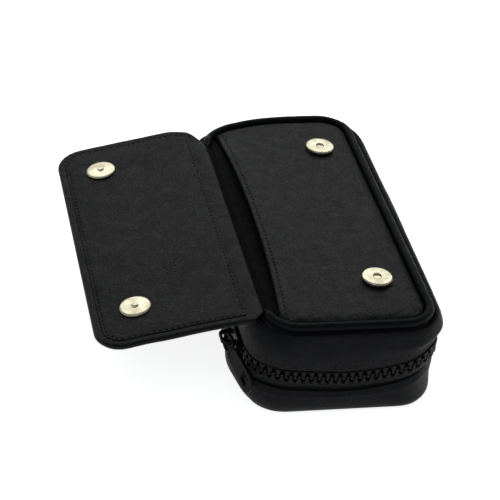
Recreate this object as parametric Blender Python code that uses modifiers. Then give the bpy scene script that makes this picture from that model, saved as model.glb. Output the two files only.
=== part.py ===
"""Zip-round leather case for fountain pens, with a snap-down cover flap and a slip pocket on its lid.

The case rests on its base with the spine on -X, its long side along Y and its open flap to the left.
The lid hinges on the spine, the flap on the lid's left top seam. Lengths are metres, +Z is up.
"""

import math

import bmesh
import bpy
from mathutils import Matrix, Vector

MM = 0.001
GAP = 0.3 * MM

# Plan of the case: the piping line round the lid's top is the reference outline.
HALF_WIDTH = 37.0 * MM
HALF_LENGTH = 87.0 * MM
CORNER_RADIUS = 14.0 * MM
CORNER_STEPS = 7

# Heights.
PIPING_Z = 46.0 * MM
PIPING_RADIUS = 2.1 * MM
ZIP_Z = 20.5 * MM
BASE_HEM_Z = 14.9 * MM
LID_HEM_Z = 26.3 * MM
SPINE_FOLD_Z = 25.0 * MM
SPINE_FOLD_X = -46.0 * MM
SPINE_HALF_LENGTH = 47.0 * MM

LEATHER = 1.2 * MM
LINING = 0.9 * MM
TAPE = 0.8 * MM

# Zip: moulded teeth, one row on each tape.
TOOTH_PITCH = 3.7 * MM
TOOTH_OFFSET = (5.4 * MM, 1.6 * MM)
TOOTH_DEPTH = 2.6 * MM
TOOTH_WIDTH = 1.4 * MM
TOOTH_LENGTH = 2.9 * MM
TOOTH_OVERLAP = 1.0 * MM
BEAD_HEIGHT = 1.3 * MM

# Magnetic snaps.
SNAP_X = 17.5 * MM
SNAP_Y = 56.0 * MM
SOCKET_Z = 47.8 * MM

# Flap, in its own frame: s runs out from the hinge line, n up from the hinge's height.
FLAP_HINGE = (-37.2 * MM, 48.3 * MM)
FLAP_DROOP = math.radians(11.9)
FLAP_LENGTH = 75.0 * MM
FLAP_HALF_WIDTH = 80.5 * MM
FLAP_CORNER = 14.0 * MM
FLAP_THICKNESS = 2.9 * MM
FLAP_DROP = 1.5 * MM
FLAP_BORDER = 6.0 * MM
FLAP_STRIP = 9.0 * MM

# Slider and pull on the left side, just behind the front corner.
SLIDER_Y = -58.0 * MM
SLIDER_LENGTH = 12.0 * MM
SLIDER_GAP = 2.2 * MM
PULL_PIVOT = (-49.2 * MM, -58.1 * MM, 20.5 * MM)
PULL_YAW = math.radians(11.0)
PULL_DROOP = math.radians(12.0)
PULL_TWIST = math.radians(18.0)

PEN_COUNT = 4
PEN_PITCH = 17.5 * MM
PEN_LOOP_RADIUS = 7.2 * MM
PEN_STRAP_WIDTH = 22.0 * MM
PEN_STRAP_Y = 40.0 * MM

BLACK_LEATHER = ("case_leather", (0.018, 0.018, 0.019, 1.0), 0.55, 0.0)
BLACK_LINING = ("lining_cloth", (0.030, 0.030, 0.033, 1.0), 0.85, 0.0)
BOARD = ("stiffener_board", (0.25, 0.21, 0.17, 1.0), 0.9, 0.0)
WOVEN_TAPE = ("zip_tape", (0.014, 0.014, 0.015, 1.0), 0.8, 0.0)
ZIP_PLASTIC = ("zip_plastic", (0.035, 0.035, 0.037, 1.0), 0.35, 0.0)
PAINTED_METAL = ("black_metal", (0.02, 0.02, 0.021, 1.0), 0.25, 0.8)
NICKEL = ("snap_nickel", (0.62, 0.57, 0.49, 1.0), 0.25, 1.0)
ELASTIC = ("pen_elastic", (0.02, 0.02, 0.022, 1.0), 0.75, 0.0)


def clear_scene():
    for obj in list(bpy.data.objects):
        bpy.data.objects.remove(obj, do_unlink=True)


def new_collection(name, hidden=False):
    collection = bpy.data.collections.new(name)
    collection.hide_render = hidden
    bpy.context.scene.collection.children.link(collection)
    return collection


def material(spec):
    name, colour, roughness, metallic = spec
    made = bpy.data.materials.get(name)
    if made:
        return made
    made = bpy.data.materials.new(name)
    made.use_nodes = True
    shader = made.node_tree.nodes["Principled BSDF"]
    shader.inputs["Base Color"].default_value = colour
    shader.inputs["Roughness"].default_value = roughness
    shader.inputs["Metallic"].default_value = metallic
    return made


def add_mesh(name, mesh_data, spec, parent=None, smooth=True):
    """A node in the case's collection, at the world origin of its parent's frame."""
    mesh = bpy.data.meshes.new(name)
    bmesh.ops.remove_doubles(mesh_data, verts=mesh_data.verts, dist=1e-6)
    bmesh.ops.recalc_face_normals(mesh_data, faces=mesh_data.faces)
    mesh_data.to_mesh(mesh)
    mesh_data.free()
    if smooth:
        mesh.shade_smooth()
        mesh.set_sharp_from_angle(angle=math.radians(40))
    obj = bpy.data.objects.new(name, mesh)
    mesh.materials.append(material(spec))
    bpy.data.collections["fountain_pen_case"].objects.link(obj)
    hang(obj, parent)
    return obj


def hang(obj, parent):
    """Parents obj to an empty and keeps the place it was modelled in."""
    if parent:
        obj.parent = parent
        obj.matrix_parent_inverse = parent.matrix_world.inverted()


def add_empty(name, location, parent=None):
    empty = bpy.data.objects.new(name, None)
    empty.empty_display_size = 0.01
    empty.location = location
    bpy.data.collections["fountain_pen_case"].objects.link(empty)
    bpy.context.view_layer.update()
    if parent:
        hang(empty, parent)
        bpy.context.view_layer.update()
    return empty


def outline(grow_x, grow_y, steps=CORNER_STEPS):
    """The rounded-rectangle plan of the case, grown sideways and lengthways, anticlockwise."""
    half_width = HALF_WIDTH + grow_x
    half_length = HALF_LENGTH + grow_y
    radius = CORNER_RADIUS + (grow_x + grow_y) / 2
    points = []
    for corner in range(4):
        side_x = (1, -1, -1, 1)[corner]
        side_y = (1, 1, -1, -1)[corner]
        for step in range(steps + 1):
            angle = math.radians(90 * (corner + step / steps))
            x = side_x * (half_width - radius) + radius * math.cos(angle)
            y = side_y * (half_length - radius) + radius * math.sin(angle)
            points.append((x, y))
    return points


def ring_faces(bm, rings, closed):
    """Quads between rings of vertices, and either a closed section or two end caps."""
    count = len(rings[0])
    pairs = list(zip(rings, rings[1:]))
    if closed:
        pairs.append((rings[-1], rings[0]))
    for lower, upper in pairs:
        for i in range(count):
            j = (i + 1) % count
            bm.faces.new((lower[i], lower[j], upper[j], upper[i]))
    if not closed:
        bm.faces.new(list(reversed(rings[0])))
        bm.faces.new(rings[-1])


def loft(section, closed):
    """A solid through (grow_x, grow_y, z) rings of the plan outline."""
    bm = bmesh.new()
    rings = []
    for grow_x, grow_y, z in section:
        rings.append([bm.verts.new((x, y, z)) for x, y in outline(grow_x, grow_y)])
    ring_faces(bm, rings, closed)
    return bm


def band(outer, thickness):
    """A wall of constant thickness whose outer face runs through (grow_x, grow_y, z)."""
    inner = [(grow_x - thickness, grow_y - thickness, z) for grow_x, grow_y, z in reversed(outer)]
    return loft(outer + inner, closed=True)


def plate(grow_x, grow_y, z_low, z_high, ease=0.0):
    """A flat board of the plan outline, its lower edge eased inwards."""
    section = [(grow_x, grow_y, z_low + ease), (grow_x, grow_y, z_high)]
    if ease:
        section.insert(0, (grow_x - ease, grow_y - ease, z_low))
    return loft(section, closed=False)


def cup(outer, floor_z, thickness):
    """A lining: a wall through (grow_x, grow_y, z) from its rim, closed by a floor at its last ring."""
    inner = [(grow_x - thickness, grow_y - thickness, z) for grow_x, grow_y, z in outer[:-1]]
    floor = (outer[-1][0] - thickness, outer[-1][1] - thickness, floor_z)
    section = [*reversed(outer), *inner, floor]
    return loft(section, closed=False)


def cutter_box(name, low, high):
    """A hidden box for a Boolean."""
    bm = bmesh.new()
    size = Vector(high) - Vector(low)
    centre = (Vector(high) + Vector(low)) / 2
    bmesh.ops.create_cube(bm, size=1.0, matrix=Matrix.Translation(centre) @ Matrix.Diagonal((*size, 1.0)))
    mesh = bpy.data.meshes.new(name)
    bm.to_mesh(mesh)
    bm.free()
    obj = bpy.data.objects.new(name, mesh)
    obj.hide_render = True
    obj.display_type = "WIRE"
    bpy.data.collections["cutters"].objects.link(obj)
    return obj


def boolean(obj, cutter, operation):
    modifier = obj.modifiers.new(cutter.name, "BOOLEAN")
    modifier.operation = operation
    modifier.solver = "EXACT"
    modifier.object = cutter
    return modifier


def bevel(obj, width, segments=2):
    modifier = obj.modifiers.new("bevel", "BEVEL")
    modifier.width = width
    modifier.segments = segments
    modifier.limit_method = "ANGLE"
    modifier.angle_limit = math.radians(50)
    return modifier


def spine_cutters():
    """Boxes over the spine's stretch of the left wall: one for the spine, one a gap wider for the rest."""
    far, near, high = -60 * MM, -30 * MM, 60 * MM
    inner = SPINE_HALF_LENGTH - GAP / 2
    outer = SPINE_HALF_LENGTH + GAP / 2
    keep = cutter_box("spine_stretch", (far, -inner, -MM), (near, inner, high))
    drop = cutter_box("beside_spine", (far, -outer, -MM), (near, outer, high))
    return keep, drop


def add_base(root, keep, drop):
    """The lower shell: floor, wall, spine half, board and lining."""
    wall = [(4.6, 1.6, 1.6), (6.9, 3.4, 3.5), (8.0, 4.4, 8.5), (7.4, 3.8, BASE_HEM_Z / MM)]
    spine = [(4.6, 1.6, 1.6), (6.9, 3.4, 3.5), (8.2, 4.4, 8.5), (8.7, 4.4, 17.0),
             (8.9, 4.4, SPINE_FOLD_Z / MM - 0.3)]
    add_mesh("base_panel", plate(4.2 * MM, 1.4 * MM, 0.0, 1.3 * MM, ease=0.9 * MM), BLACK_LEATHER, root)
    gusset = add_mesh("base_gusset", band(in_mm(wall), LEATHER), BLACK_LEATHER, root)
    boolean(gusset, drop, "DIFFERENCE")
    half = add_mesh("spine_lower", band(in_mm(spine), LEATHER), BLACK_LEATHER, root)
    boolean(half, keep, "INTERSECT")
    add_mesh("base_stiffener", plate(2.0 * MM, 0.0, 1.7 * MM, 3.1 * MM), BOARD, root)
    lining = [(4.6, 1.0, 14.6), (4.4, 0.8, 8.0), (2.6, 0.0, 3.4)]
    add_mesh("base_lining", cup(in_mm(lining), 4.3 * MM, LINING), BLACK_LINING, root)


def add_lid(lid, keep, drop):
    """The upper shell: panel, wall, spine half, board, lining and its inner pocket."""
    wall = [(7.2, 3.6, LID_HEM_Z / MM), (8.2, 4.6, 29.5), (8.6, 5.0, 34.0), (7.6, 4.2, 38.6),
            (4.6, 2.6, 41.7), (1.2, 1.2, 43.3)]
    spine = [(8.9, 4.4, SPINE_FOLD_Z / MM + 0.3), (8.8, 4.8, 29.5), *wall[2:]]
    add_mesh("lid_panel", plate(-2.6 * MM, -2.6 * MM, 44.1 * MM, 45.3 * MM), BLACK_LEATHER, lid)
    gusset = add_mesh("lid_gusset", band(in_mm(wall), LEATHER), BLACK_LEATHER, lid)
    boolean(gusset, drop, "DIFFERENCE")
    half = add_mesh("spine_upper", band(in_mm(spine), LEATHER), BLACK_LEATHER, lid)
    boolean(half, keep, "INTERSECT")
    add_mesh("lid_stiffener", plate(-3.2 * MM, -3.2 * MM, 42.5 * MM, 43.7 * MM), BOARD, lid)
    lining = [(4.6, 0.8, 26.6), (4.7, 0.8, 30.4), (5.6, 2.0, 34.0), (4.4, 1.6, 38.4), (0.4, 0.0, 42.0)]
    add_mesh("lid_lining", cup(in_mm(lining), 41.1 * MM, LINING), BLACK_LINING, lid)
    pocket = box((-20.0, -60.0, 40.0), (34.0, 60.0, 40.8))
    add_mesh("lid_slip_pocket", pocket, BLACK_LINING, lid, smooth=False)


def in_mm(rows):
    return [tuple(value * MM for value in row) for row in rows]


def add_piping(lid):
    """The piping cord round the front, right and back of the lid, open where the flap is sewn on."""
    path = outline(0.0, 0.0)
    per_corner = CORNER_STEPS + 1
    middle = CORNER_STEPS // 2
    # From the middle of the front-left corner, round the right side, to the middle of the back-left one.
    route = path[2 * per_corner + middle + 1:] + path[: per_corner + middle + 1]
    curve = bpy.data.curves.new("lid_piping", "CURVE")
    curve.dimensions = "3D"
    curve.bevel_depth = PIPING_RADIUS
    curve.bevel_resolution = 3
    curve.use_fill_caps = True
    spline = curve.splines.new("POLY")
    spline.points.add(len(route) - 1)
    for point, (x, y) in zip(spline.points, route):
        point.co = (x, y, PIPING_Z, 1.0)
    obj = bpy.data.objects.new("lid_piping", curve)
    curve.materials.append(material(BLACK_LEATHER))
    bpy.data.collections["fountain_pen_case"].objects.link(obj)
    hang(obj, lid)


def add_pocket(lid):
    """The slip pocket on the lid's top: a domed panel sewn on three sides, its mouth beside the flap."""
    right = 34.2 * MM
    half = 84.2 * MM
    corner = 11.2 * MM
    columns = 15
    rows = 26
    bm = bmesh.new()
    grid = []
    for i in range(columns + 1):
        across = 1 - (1 - i / columns) ** 1.6
        line = []
        for j in range(rows + 1):
            along = 2 * j / rows - 1
            mouth = -32.5 * MM + 4.0 * MM * (1 - along * along)
            x = mouth + (right - mouth) * across
            inside = max(0.0, abs(x) - (right - corner))
            limit = half - corner + math.sqrt(max(corner * corner - inside * inside, 0.0))
            y = along * limit
            line.append(bm.verts.new((x, y, pocket_height(x, y, right, half))))
        grid.append(line)
    for i in range(columns):
        for j in range(rows):
            bm.faces.new((grid[i][j], grid[i + 1][j], grid[i + 1][j + 1], grid[i][j + 1]))
    obj = add_mesh("pocket_panel", bm, BLACK_LEATHER, lid)
    solid = obj.modifiers.new("thickness", "SOLIDIFY")
    solid.thickness = LEATHER
    solid.offset = -1.0
    strip = add_mesh("flap_anchor_strip", box((-35.6, -70, 45.7), (-33.4, 70, 46.9)), BLACK_LEATHER, lid)
    bevel(strip, 0.3 * MM, 1)


def pocket_height(x, y, right, half):
    """Top of the pocket panel: low along its three seams, a little proud of the lid elsewhere."""
    edge = min(right - x, half - abs(y))
    rise = 1 - math.exp(-max(edge, 0.0) / (4 * MM))
    return 46.9 * MM + 0.6 * MM * rise


def box(low, high):
    """A box from its corners in millimetres."""
    bm = bmesh.new()
    low = Vector(low) * MM
    high = Vector(high) * MM
    matrix = Matrix.Translation((low + high) / 2) @ Matrix.Diagonal((*(high - low), 1.0))
    bmesh.ops.create_cube(bm, size=1.0, matrix=matrix)
    return bm


def tape_route():
    """Points of the zip's path, from the spine's front end, round the front, right and back, to its back end."""
    path = outline(*TOOTH_OFFSET, steps=10)
    per_corner = 11
    left_x = path[per_corner * 2][0]
    route = [(left_x, -SPINE_HALF_LENGTH - 0.6 * MM)]
    route += path[2 * per_corner:]
    route += path[: 2 * per_corner]
    route.append((left_x, SPINE_HALF_LENGTH + 0.6 * MM))
    return route


def along(route, distance):
    """Place and heading at a distance along the route."""
    last = len(route) - 2
    for i, ((ax, ay), (bx, by)) in enumerate(zip(route, route[1:])):
        length = math.hypot(bx - ax, by - ay)
        if distance <= length or i == last:
            part = distance / length
            heading = math.atan2(by - ay, bx - ax)
            return ax + (bx - ax) * part, ay + (by - ay) * part, heading
        distance -= length


def route_length(route):
    return sum(math.hypot(b[0] - a[0], b[1] - a[1]) for a, b in zip(route, route[1:]))


def swept_bar(bm, route, half_depth, z_low, z_high):
    """A bar of rectangular section along the route, with square ends."""
    sections = []
    for i, (x, y) in enumerate(route):
        before = route[max(i - 1, 0)]
        after = route[min(i + 1, len(route) - 1)]
        heading = math.atan2(after[1] - before[1], after[0] - before[0])
        side = Vector((math.sin(heading), -math.cos(heading))) * half_depth
        corners = ((1, z_low), (1, z_high), (-1, z_high), (-1, z_low))
        sections.append([bm.verts.new((x + sign * side.x, y + sign * side.y, z)) for sign, z in corners])
    for a, b in zip(sections, sections[1:]):
        for i in range(4):
            j = (i + 1) % 4
            bm.faces.new((a[i], a[j], b[j], b[i]))
    bm.faces.new(sections[0])
    bm.faces.new(list(reversed(sections[-1])))


def part_of(route, start, end):
    """The stretch of the route between two distances."""
    points = [along(route, start)[:2]]
    travelled = 0.0
    for a, b in zip(route, route[1:]):
        travelled += math.hypot(b[0] - a[0], b[1] - a[1])
        if start + 0.2 * MM < travelled < end - 0.2 * MM:
            points.append(b)
    points.append(along(route, end)[:2])
    return points


def tooth_row(route, start, end, upward, phase, reach):
    """One row of teeth on its bead. reach(distance) is how far a tooth passes the zip's centre line."""
    sign = 1 if upward else -1
    root = ZIP_Z + sign * TOOTH_LENGTH
    bm = bmesh.new()
    swept_bar(bm, part_of(route, start, end), TOOTH_DEPTH / 2 - 0.2 * MM, *sorted((root, root + sign * BEAD_HEIGHT)))
    bead = temporary("bead", bm)
    distance = start + TOOTH_WIDTH + phase
    teeth = bmesh.new()
    while distance < end - TOOTH_WIDTH:
        x, y, heading = along(route, distance)
        tip = ZIP_Z - sign * reach(distance)
        base = root + sign * BEAD_HEIGHT / 2
        add_tooth(teeth, x, y, heading, tip, base)
        distance += TOOTH_PITCH
    return bead, temporary("teeth", teeth)


def add_tooth(bm, x, y, heading, tip, base):
    """A moulded tooth: a block a little wider at its tip than at its neck."""
    centre = Matrix.Translation((x, y, (tip + base) / 2)) @ Matrix.Rotation(heading, 4, "Z")
    size = Matrix.Diagonal((TOOTH_WIDTH, TOOTH_DEPTH, abs(base - tip), 1.0))
    made = bmesh.ops.create_cube(bm, size=1.0, matrix=centre @ size)
    for vert in made["verts"]:
        if abs(vert.co.z - base) < abs(vert.co.z - tip):
            side = Vector((math.cos(heading), math.sin(heading), 0.0))
            offset = (vert.co - Vector((x, y, vert.co.z))).dot(side)
            vert.co -= side * offset * 0.35


def temporary(name, bm):
    """A hidden mesh that a Boolean takes in."""
    mesh = bpy.data.meshes.new(name)
    bmesh.ops.recalc_face_normals(bm, faces=bm.faces)
    bm.to_mesh(mesh)
    bm.free()
    obj = bpy.data.objects.new(name, mesh)
    obj.hide_render = True
    obj.display_type = "WIRE"
    bpy.data.collections["cutters"].objects.link(obj)
    return obj


def add_row(name, parts, parent):
    """The bead and its teeth joined into one node."""
    bead, teeth = parts
    mesh = bead.data.copy()
    mesh.materials.clear()
    mesh.materials.append(material(ZIP_PLASTIC))
    obj = bpy.data.objects.new(name, mesh)
    bpy.data.collections["fountain_pen_case"].objects.link(obj)
    boolean(obj, teeth, "UNION")
    hang(obj, parent)


def add_tape(name, route, start, end, z_low, z_high, parent):
    bm = bmesh.new()
    swept_bar(bm, part_of(route, start, end), TAPE / 2, z_low, z_high)
    add_mesh(name, bm, WOVEN_TAPE, parent)


def add_zip(root, lid):
    """Tapes and tooth rows. The short closed stretch beside each end of the spine stays with the base."""
    route = tape_route()
    total = route_length(route)
    short = HALF_LENGTH + TOOTH_OFFSET[1] - CORNER_RADIUS - sum(TOOTH_OFFSET) / 2 - SPINE_HALF_LENGTH - 0.6 * MM
    corner = math.pi / 2 * (CORNER_RADIUS + sum(TOOTH_OFFSET) / 2)
    tape_low = (11.2 * MM, ZIP_Z - TOOTH_LENGTH - BEAD_HEIGHT - GAP)
    tape_high = (ZIP_Z + TOOTH_LENGTH + BEAD_HEIGHT + GAP, 30.0 * MM)
    short_high = (tape_high[0], 25.9 * MM)

    def reach(distance):
        """Teeth mesh along the straight sides, meet at the corners by the spine and part under the slider."""
        near = min(distance, total - distance)
        if near > short + corner:
            return TOOTH_OVERLAP
        return -GAP / 2 if near > short else -SLIDER_GAP / 2

    add_tape("zip_tape_lower", route, 0.0, total, *tape_low, root)
    add_tape("zip_tape_upper", route, short + GAP, total - short - GAP, *tape_high, lid)
    add_row("zip_teeth_lower", tooth_row(route, 0.0, total, False, 0.0, reach), root)
    upper = tooth_row(route, short + GAP, total - short - GAP, True, TOOTH_PITCH / 2 - phase_of(short), reach)
    add_row("zip_teeth_upper", upper, lid)
    ends = (("front", 0.0, short - GAP), ("back", total - short + GAP, total))
    for side, start, end in ends:
        add_tape(f"zip_end_tape_{side}", route, start, end, *short_high, root)
        add_row(f"zip_end_teeth_{side}", tooth_row(route, start, end, True, 0.5 * MM, reach), root)


def phase_of(start):
    """How far the upper row's first tooth is from the lower row's spacing."""
    return (start + GAP) % TOOTH_PITCH


def screw_solid(name, profile, matrix, spec, parent):
    """A turned piece from a (radius, height) profile, top to bottom on its outer side."""
    mesh = bpy.data.meshes.new(name)
    points = [(radius * MM, 0.0, height * MM) for radius, height in profile]
    edges = [(i, i + 1) for i in range(len(points) - 1)]
    mesh.from_pydata(points, edges, [])
    mesh.materials.append(material(spec))
    obj = bpy.data.objects.new(name, mesh)
    turn = obj.modifiers.new("turn", "SCREW")
    turn.steps = 32
    turn.render_steps = 32
    turn.use_merge_vertices = True
    turn.merge_threshold = 1e-5
    turn.use_smooth_shade = True
    bpy.data.collections["fountain_pen_case"].objects.link(obj)
    obj.matrix_world = matrix
    bpy.context.view_layer.update()
    hang(obj, parent)
    return obj


def flap_matrix():
    """From the flap's own frame (-X outwards, +Z its lining side) to the case's."""
    place = Matrix.Translation((FLAP_HINGE[0], 0.0, FLAP_HINGE[1]))
    return place @ Matrix.Rotation(-FLAP_DROOP, 4, "Y")


def add_snaps(lid, flap):
    """Two magnetic snaps: sockets and their washers on the pocket, studs and their washers on the flap."""
    socket = [(0, 0.9), (2.6, 0.9), (2.9, 2.0), (6.4, 2.0), (7.0, 1.5), (7.0, 0.4), (6.7, 0), (0, 0)]
    stud = [(0, 2.1), (1.7, 2.1), (2.0, 1.8), (2.0, 1.2), (6.6, 1.2), (7.0, 0.8), (7.0, 0.25), (6.8, 0), (0, 0)]
    washer = [(0, 0.4), (5.0, 0.4), (5.0, 0), (0, 0)]
    reach = SNAP_X - FLAP_HINGE[0] + 0.1 * MM
    face = FLAP_THICKNESS / 2 - FLAP_DROP + GAP
    for side, y in (("front", -SNAP_Y), ("back", SNAP_Y)):
        screw_solid(f"snap_socket_{side}", socket, Matrix.Translation((SNAP_X, y, SOCKET_Z)), NICKEL, lid)
        under = Matrix.Translation((SNAP_X, y, SOCKET_Z - 2.2 * MM))
        screw_solid(f"socket_washer_{side}", washer, under, NICKEL, lid)
        place = flap_matrix() @ Matrix.Translation((-reach, y, face))
        screw_solid(f"snap_stud_{side}", stud, place, NICKEL, flap)


def flap_sheet(inset, s_from, s_to, n_low, n_high, root_cut=9.0 * MM, corner=FLAP_CORNER - FLAP_BORDER):
    """A plate of the flap's outline inset on its three free sides, between two heights of the flap's frame."""
    half = FLAP_HALF_WIDTH - inset
    far = s_to
    points = [(s_from, half - root_cut), (s_from + 0.9 * root_cut, half), (far - corner, half)]
    for step in range(1, 9):
        angle = math.radians(90 * (1 - step / 8))
        points.append((far - corner + corner * math.cos(angle), half - corner + corner * math.sin(angle)))
    points += [(s, -y) for s, y in reversed(points)]
    bm = bmesh.new()
    rings = []
    for n in (n_low, n_high):
        rings.append([bm.verts.new((-s, y, n)) for s, y in points])
    ring_faces(bm, rings, closed=False)
    bmesh.ops.transform(bm, matrix=flap_matrix(), verts=bm.verts)
    return bm


def add_flap(flap):
    """The cover flap: outer leather with its turned-over border, a board and the lining panel inside it."""
    low = -FLAP_THICKNESS / 2 - FLAP_DROP
    high = FLAP_THICKNESS / 2 - FLAP_DROP
    skin = low + LEATHER
    whole = flap_sheet(0.0, 0.5 * MM, FLAP_LENGTH, low, high, corner=FLAP_CORNER)
    leather = add_mesh("flap_leather", whole, BLACK_LEATHER, flap)
    recess = flap_sheet(FLAP_BORDER, FLAP_STRIP, FLAP_LENGTH - FLAP_BORDER, skin, high + MM, 0.5 * MM)
    boolean(leather, temporary("flap_recess", recess), "DIFFERENCE")
    relief = flap_sheet(-MM, -MM, FLAP_STRIP - 1.6 * MM, skin, high + MM, 0.5 * MM, corner=0.5 * MM)
    boolean(leather, temporary("flap_root_relief", relief), "DIFFERENCE")
    inside = FLAP_BORDER + GAP
    near = FLAP_STRIP + GAP
    far = FLAP_LENGTH - inside
    board = flap_sheet(inside, near, far, skin + GAP, skin + 0.8 * MM, 0.5 * MM)
    add_mesh("flap_board", board, BOARD, flap)
    lining = flap_sheet(inside, near, far, skin + 1.1 * MM, high, 0.5 * MM)
    add_mesh("flap_lining", lining, BLACK_LEATHER, flap)
    strip_end = FLAP_STRIP - 2.0 * MM
    strip = flap_sheet(3.0 * MM, 1.2 * MM, strip_end, skin + GAP, skin + MM, 5.0 * MM, corner=MM)
    add_mesh("flap_hinge_strip", strip, BLACK_LEATHER, flap)


def add_slider(slider, pull):
    """The slider: two plates joined by a web between the tooth rows, a bridge, and the pull on it."""
    y_low = SLIDER_Y - SLIDER_LENGTH / 2
    y_high = SLIDER_Y + SLIDER_LENGTH / 2
    body = add_mesh("slider_body", slider_section(y_low, y_high), PAINTED_METAL, slider)
    boolean(body, temporary("slider_bridge", bridge_arch()), "UNION")
    bevel(body, 0.3 * MM)
    add_pull(pull)


def slider_section(y_low, y_high):
    """An I section along the zip: outer plate, web and inner plate."""
    face, inner, back = -45.7, -44.1, -40.6
    half = [(face, 4.1), (inner, 4.1), (inner, 0.7), (back, 0.7), (back, 3.6), (back + 1.0, 3.6)]
    profile = half + [(x, -z) for x, z in reversed(half)]
    bm = bmesh.new()
    rings = []
    for y in (y_low, y_high):
        rings.append([bm.verts.new((x * MM, y, ZIP_Z + z * MM)) for x, z in profile])
    ring_faces(bm, rings, closed=False)
    return bm


def bridge_arch():
    """The strap over the slider that the pull hangs from."""
    bm = bmesh.new()
    y = SLIDER_Y / MM
    profile = [(-45.0, y - 5.2), (-50.6, y - 4.6), (-52.0, y - 2.8), (-52.0, y + 2.8), (-50.6, y + 4.6),
               (-45.0, y + 5.2), (-45.0, y + 3.4), (-49.9, y + 3.0), (-50.7, y + 2.2), (-50.7, y - 2.2),
               (-49.9, y - 3.0), (-45.0, y - 3.4)]
    rings = []
    for z in (ZIP_Z - MM, ZIP_Z + MM):
        rings.append([bm.verts.new((x * MM, py * MM, z)) for x, py in profile])
    ring_faces(bm, rings, closed=False)
    return bm


def add_pull(pull):
    """A ring round the bridge and a tab with a window, drooping forwards along the zip."""
    ring_outline = oval(-1.1, 8.2, 3.7)
    hole_outline = oval(0.9, 7.0, 2.75)
    half_tab = [(8.5, 2.2), (11.0, 3.0), (24.0, 3.9), (29.0, 3.9), (31.0, 2.6)]
    tab_outline = [(out, -across) for out, across in half_tab] + [(31.5, 0.0)]
    tab_outline += list(reversed(half_tab))
    window = [(22.5, -1.8), (27.3, -1.8), (27.3, 1.8), (22.5, 1.8)]
    ring = add_mesh("pull_ring", pull_plate(ring_outline, 0.7), PAINTED_METAL, pull)
    boolean(ring, temporary("ring_hole", pull_plate(hole_outline, 3.0)), "DIFFERENCE")
    bevel(ring, 0.25 * MM, 1)
    tab = add_mesh("pull_tab", pull_plate(tab_outline, 0.9), PAINTED_METAL, pull)
    boolean(tab, temporary("tab_window", pull_plate(window, 3.0)), "DIFFERENCE")
    bevel(tab, 0.3 * MM, 1)


def oval(near, far, radius, steps=6):
    """An oval outline (out, across) between two distances from the pivot."""
    points = []
    for end, start in ((far - radius, -90), (near + radius, 90)):
        for step in range(steps + 1):
            angle = math.radians(start + 180 * step / steps)
            points.append((end + radius * math.cos(angle), radius * math.sin(angle)))
    return points


def pull_plate(points, half_thickness):
    """A flat piece of the pull from its (out, across) outline, set at the pull's resting slant and tilt."""
    bm = bmesh.new()
    rings = []
    for depth in (-half_thickness, half_thickness):
        rings.append([bm.verts.new((depth * MM, -out * MM, across * MM)) for out, across in points])
    ring_faces(bm, rings, closed=False)
    slant = Matrix.Rotation(PULL_YAW, 4, "Z") @ Matrix.Rotation(PULL_DROOP, 4, "X")
    slant = slant @ Matrix.Rotation(PULL_TWIST, 4, "Y")
    bmesh.ops.transform(bm, matrix=Matrix.Translation(PULL_PIVOT) @ slant, verts=bm.verts)
    return bm


def add_zip_stops(root):
    """A stop at each end of the zip, between the two rows of teeth."""
    half = 0.8
    near = SPINE_HALF_LENGTH / MM + 1.0
    for side, y in (("front", -near - 1.2), ("back", near)):
        stop = box((-43.9, y, ZIP_Z / MM - half), (-41.0, y + 1.2, ZIP_Z / MM + half))
        add_mesh(f"zip_stop_{side}", stop, PAINTED_METAL, root)


def add_pen_straps(root):
    """Two elastic straps sewn down between the pens, each making a row of open loops."""
    for side, y in (("front", -PEN_STRAP_Y), ("back", PEN_STRAP_Y)):
        bm = bmesh.new()
        outer = loop_wave(PEN_LOOP_RADIUS + 0.9 * MM, 5.5 * MM)
        inner = loop_wave(PEN_LOOP_RADIUS, 4.6 * MM)
        section = outer + list(reversed(inner))
        rings = []
        for edge in (y - PEN_STRAP_WIDTH / 2, y + PEN_STRAP_WIDTH / 2):
            rings.append([bm.verts.new((x, edge, z)) for x, z in section])
        ring_faces(bm, rings, closed=False)
        add_mesh(f"pen_loops_{side}", bm, ELASTIC, root)


def loop_wave(radius, foot_z):
    """The strap's line over the pens: an arch for each, and flat feet between them."""
    points = [(-PEN_COUNT / 2 * PEN_PITCH - 2 * MM, foot_z)]
    steps = 8
    for pen in range(PEN_COUNT):
        centre = (pen - (PEN_COUNT - 1) / 2) * PEN_PITCH
        for step in range(steps + 1):
            angle = math.pi * (1 - step / steps)
            rise = 1.25 * radius * math.sin(angle)
            points.append((centre + radius * math.cos(angle), foot_z + rise))
    points.append((PEN_COUNT / 2 * PEN_PITCH + 2 * MM, foot_z))
    return points


def main():
    clear_scene()
    new_collection("fountain_pen_case")
    new_collection("cutters", hidden=True)
    root = add_empty("base_frame", (0.0, 0.0, 0.0))
    lid = add_empty("lid_axis", (SPINE_FOLD_X, 0.0, SPINE_FOLD_Z), root)
    flap = add_empty("flap_axis", (FLAP_HINGE[0], 0.0, FLAP_HINGE[1]), lid)
    slider = add_empty("slider_axis", (SPINE_FOLD_X, SLIDER_Y, ZIP_Z), root)
    pull = add_empty("pull_axis", PULL_PIVOT, slider)
    keep, drop = spine_cutters()
    add_base(root, keep, drop)
    add_lid(lid, keep, drop)
    add_piping(lid)
    add_pocket(lid)
    add_zip(root, lid)
    add_flap(flap)
    add_snaps(lid, flap)
    add_slider(slider, pull)
    add_zip_stops(root)
    add_pen_straps(root)


main()
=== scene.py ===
import math

import bmesh
import bpy
from mathutils import Matrix, Vector, noise


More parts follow.
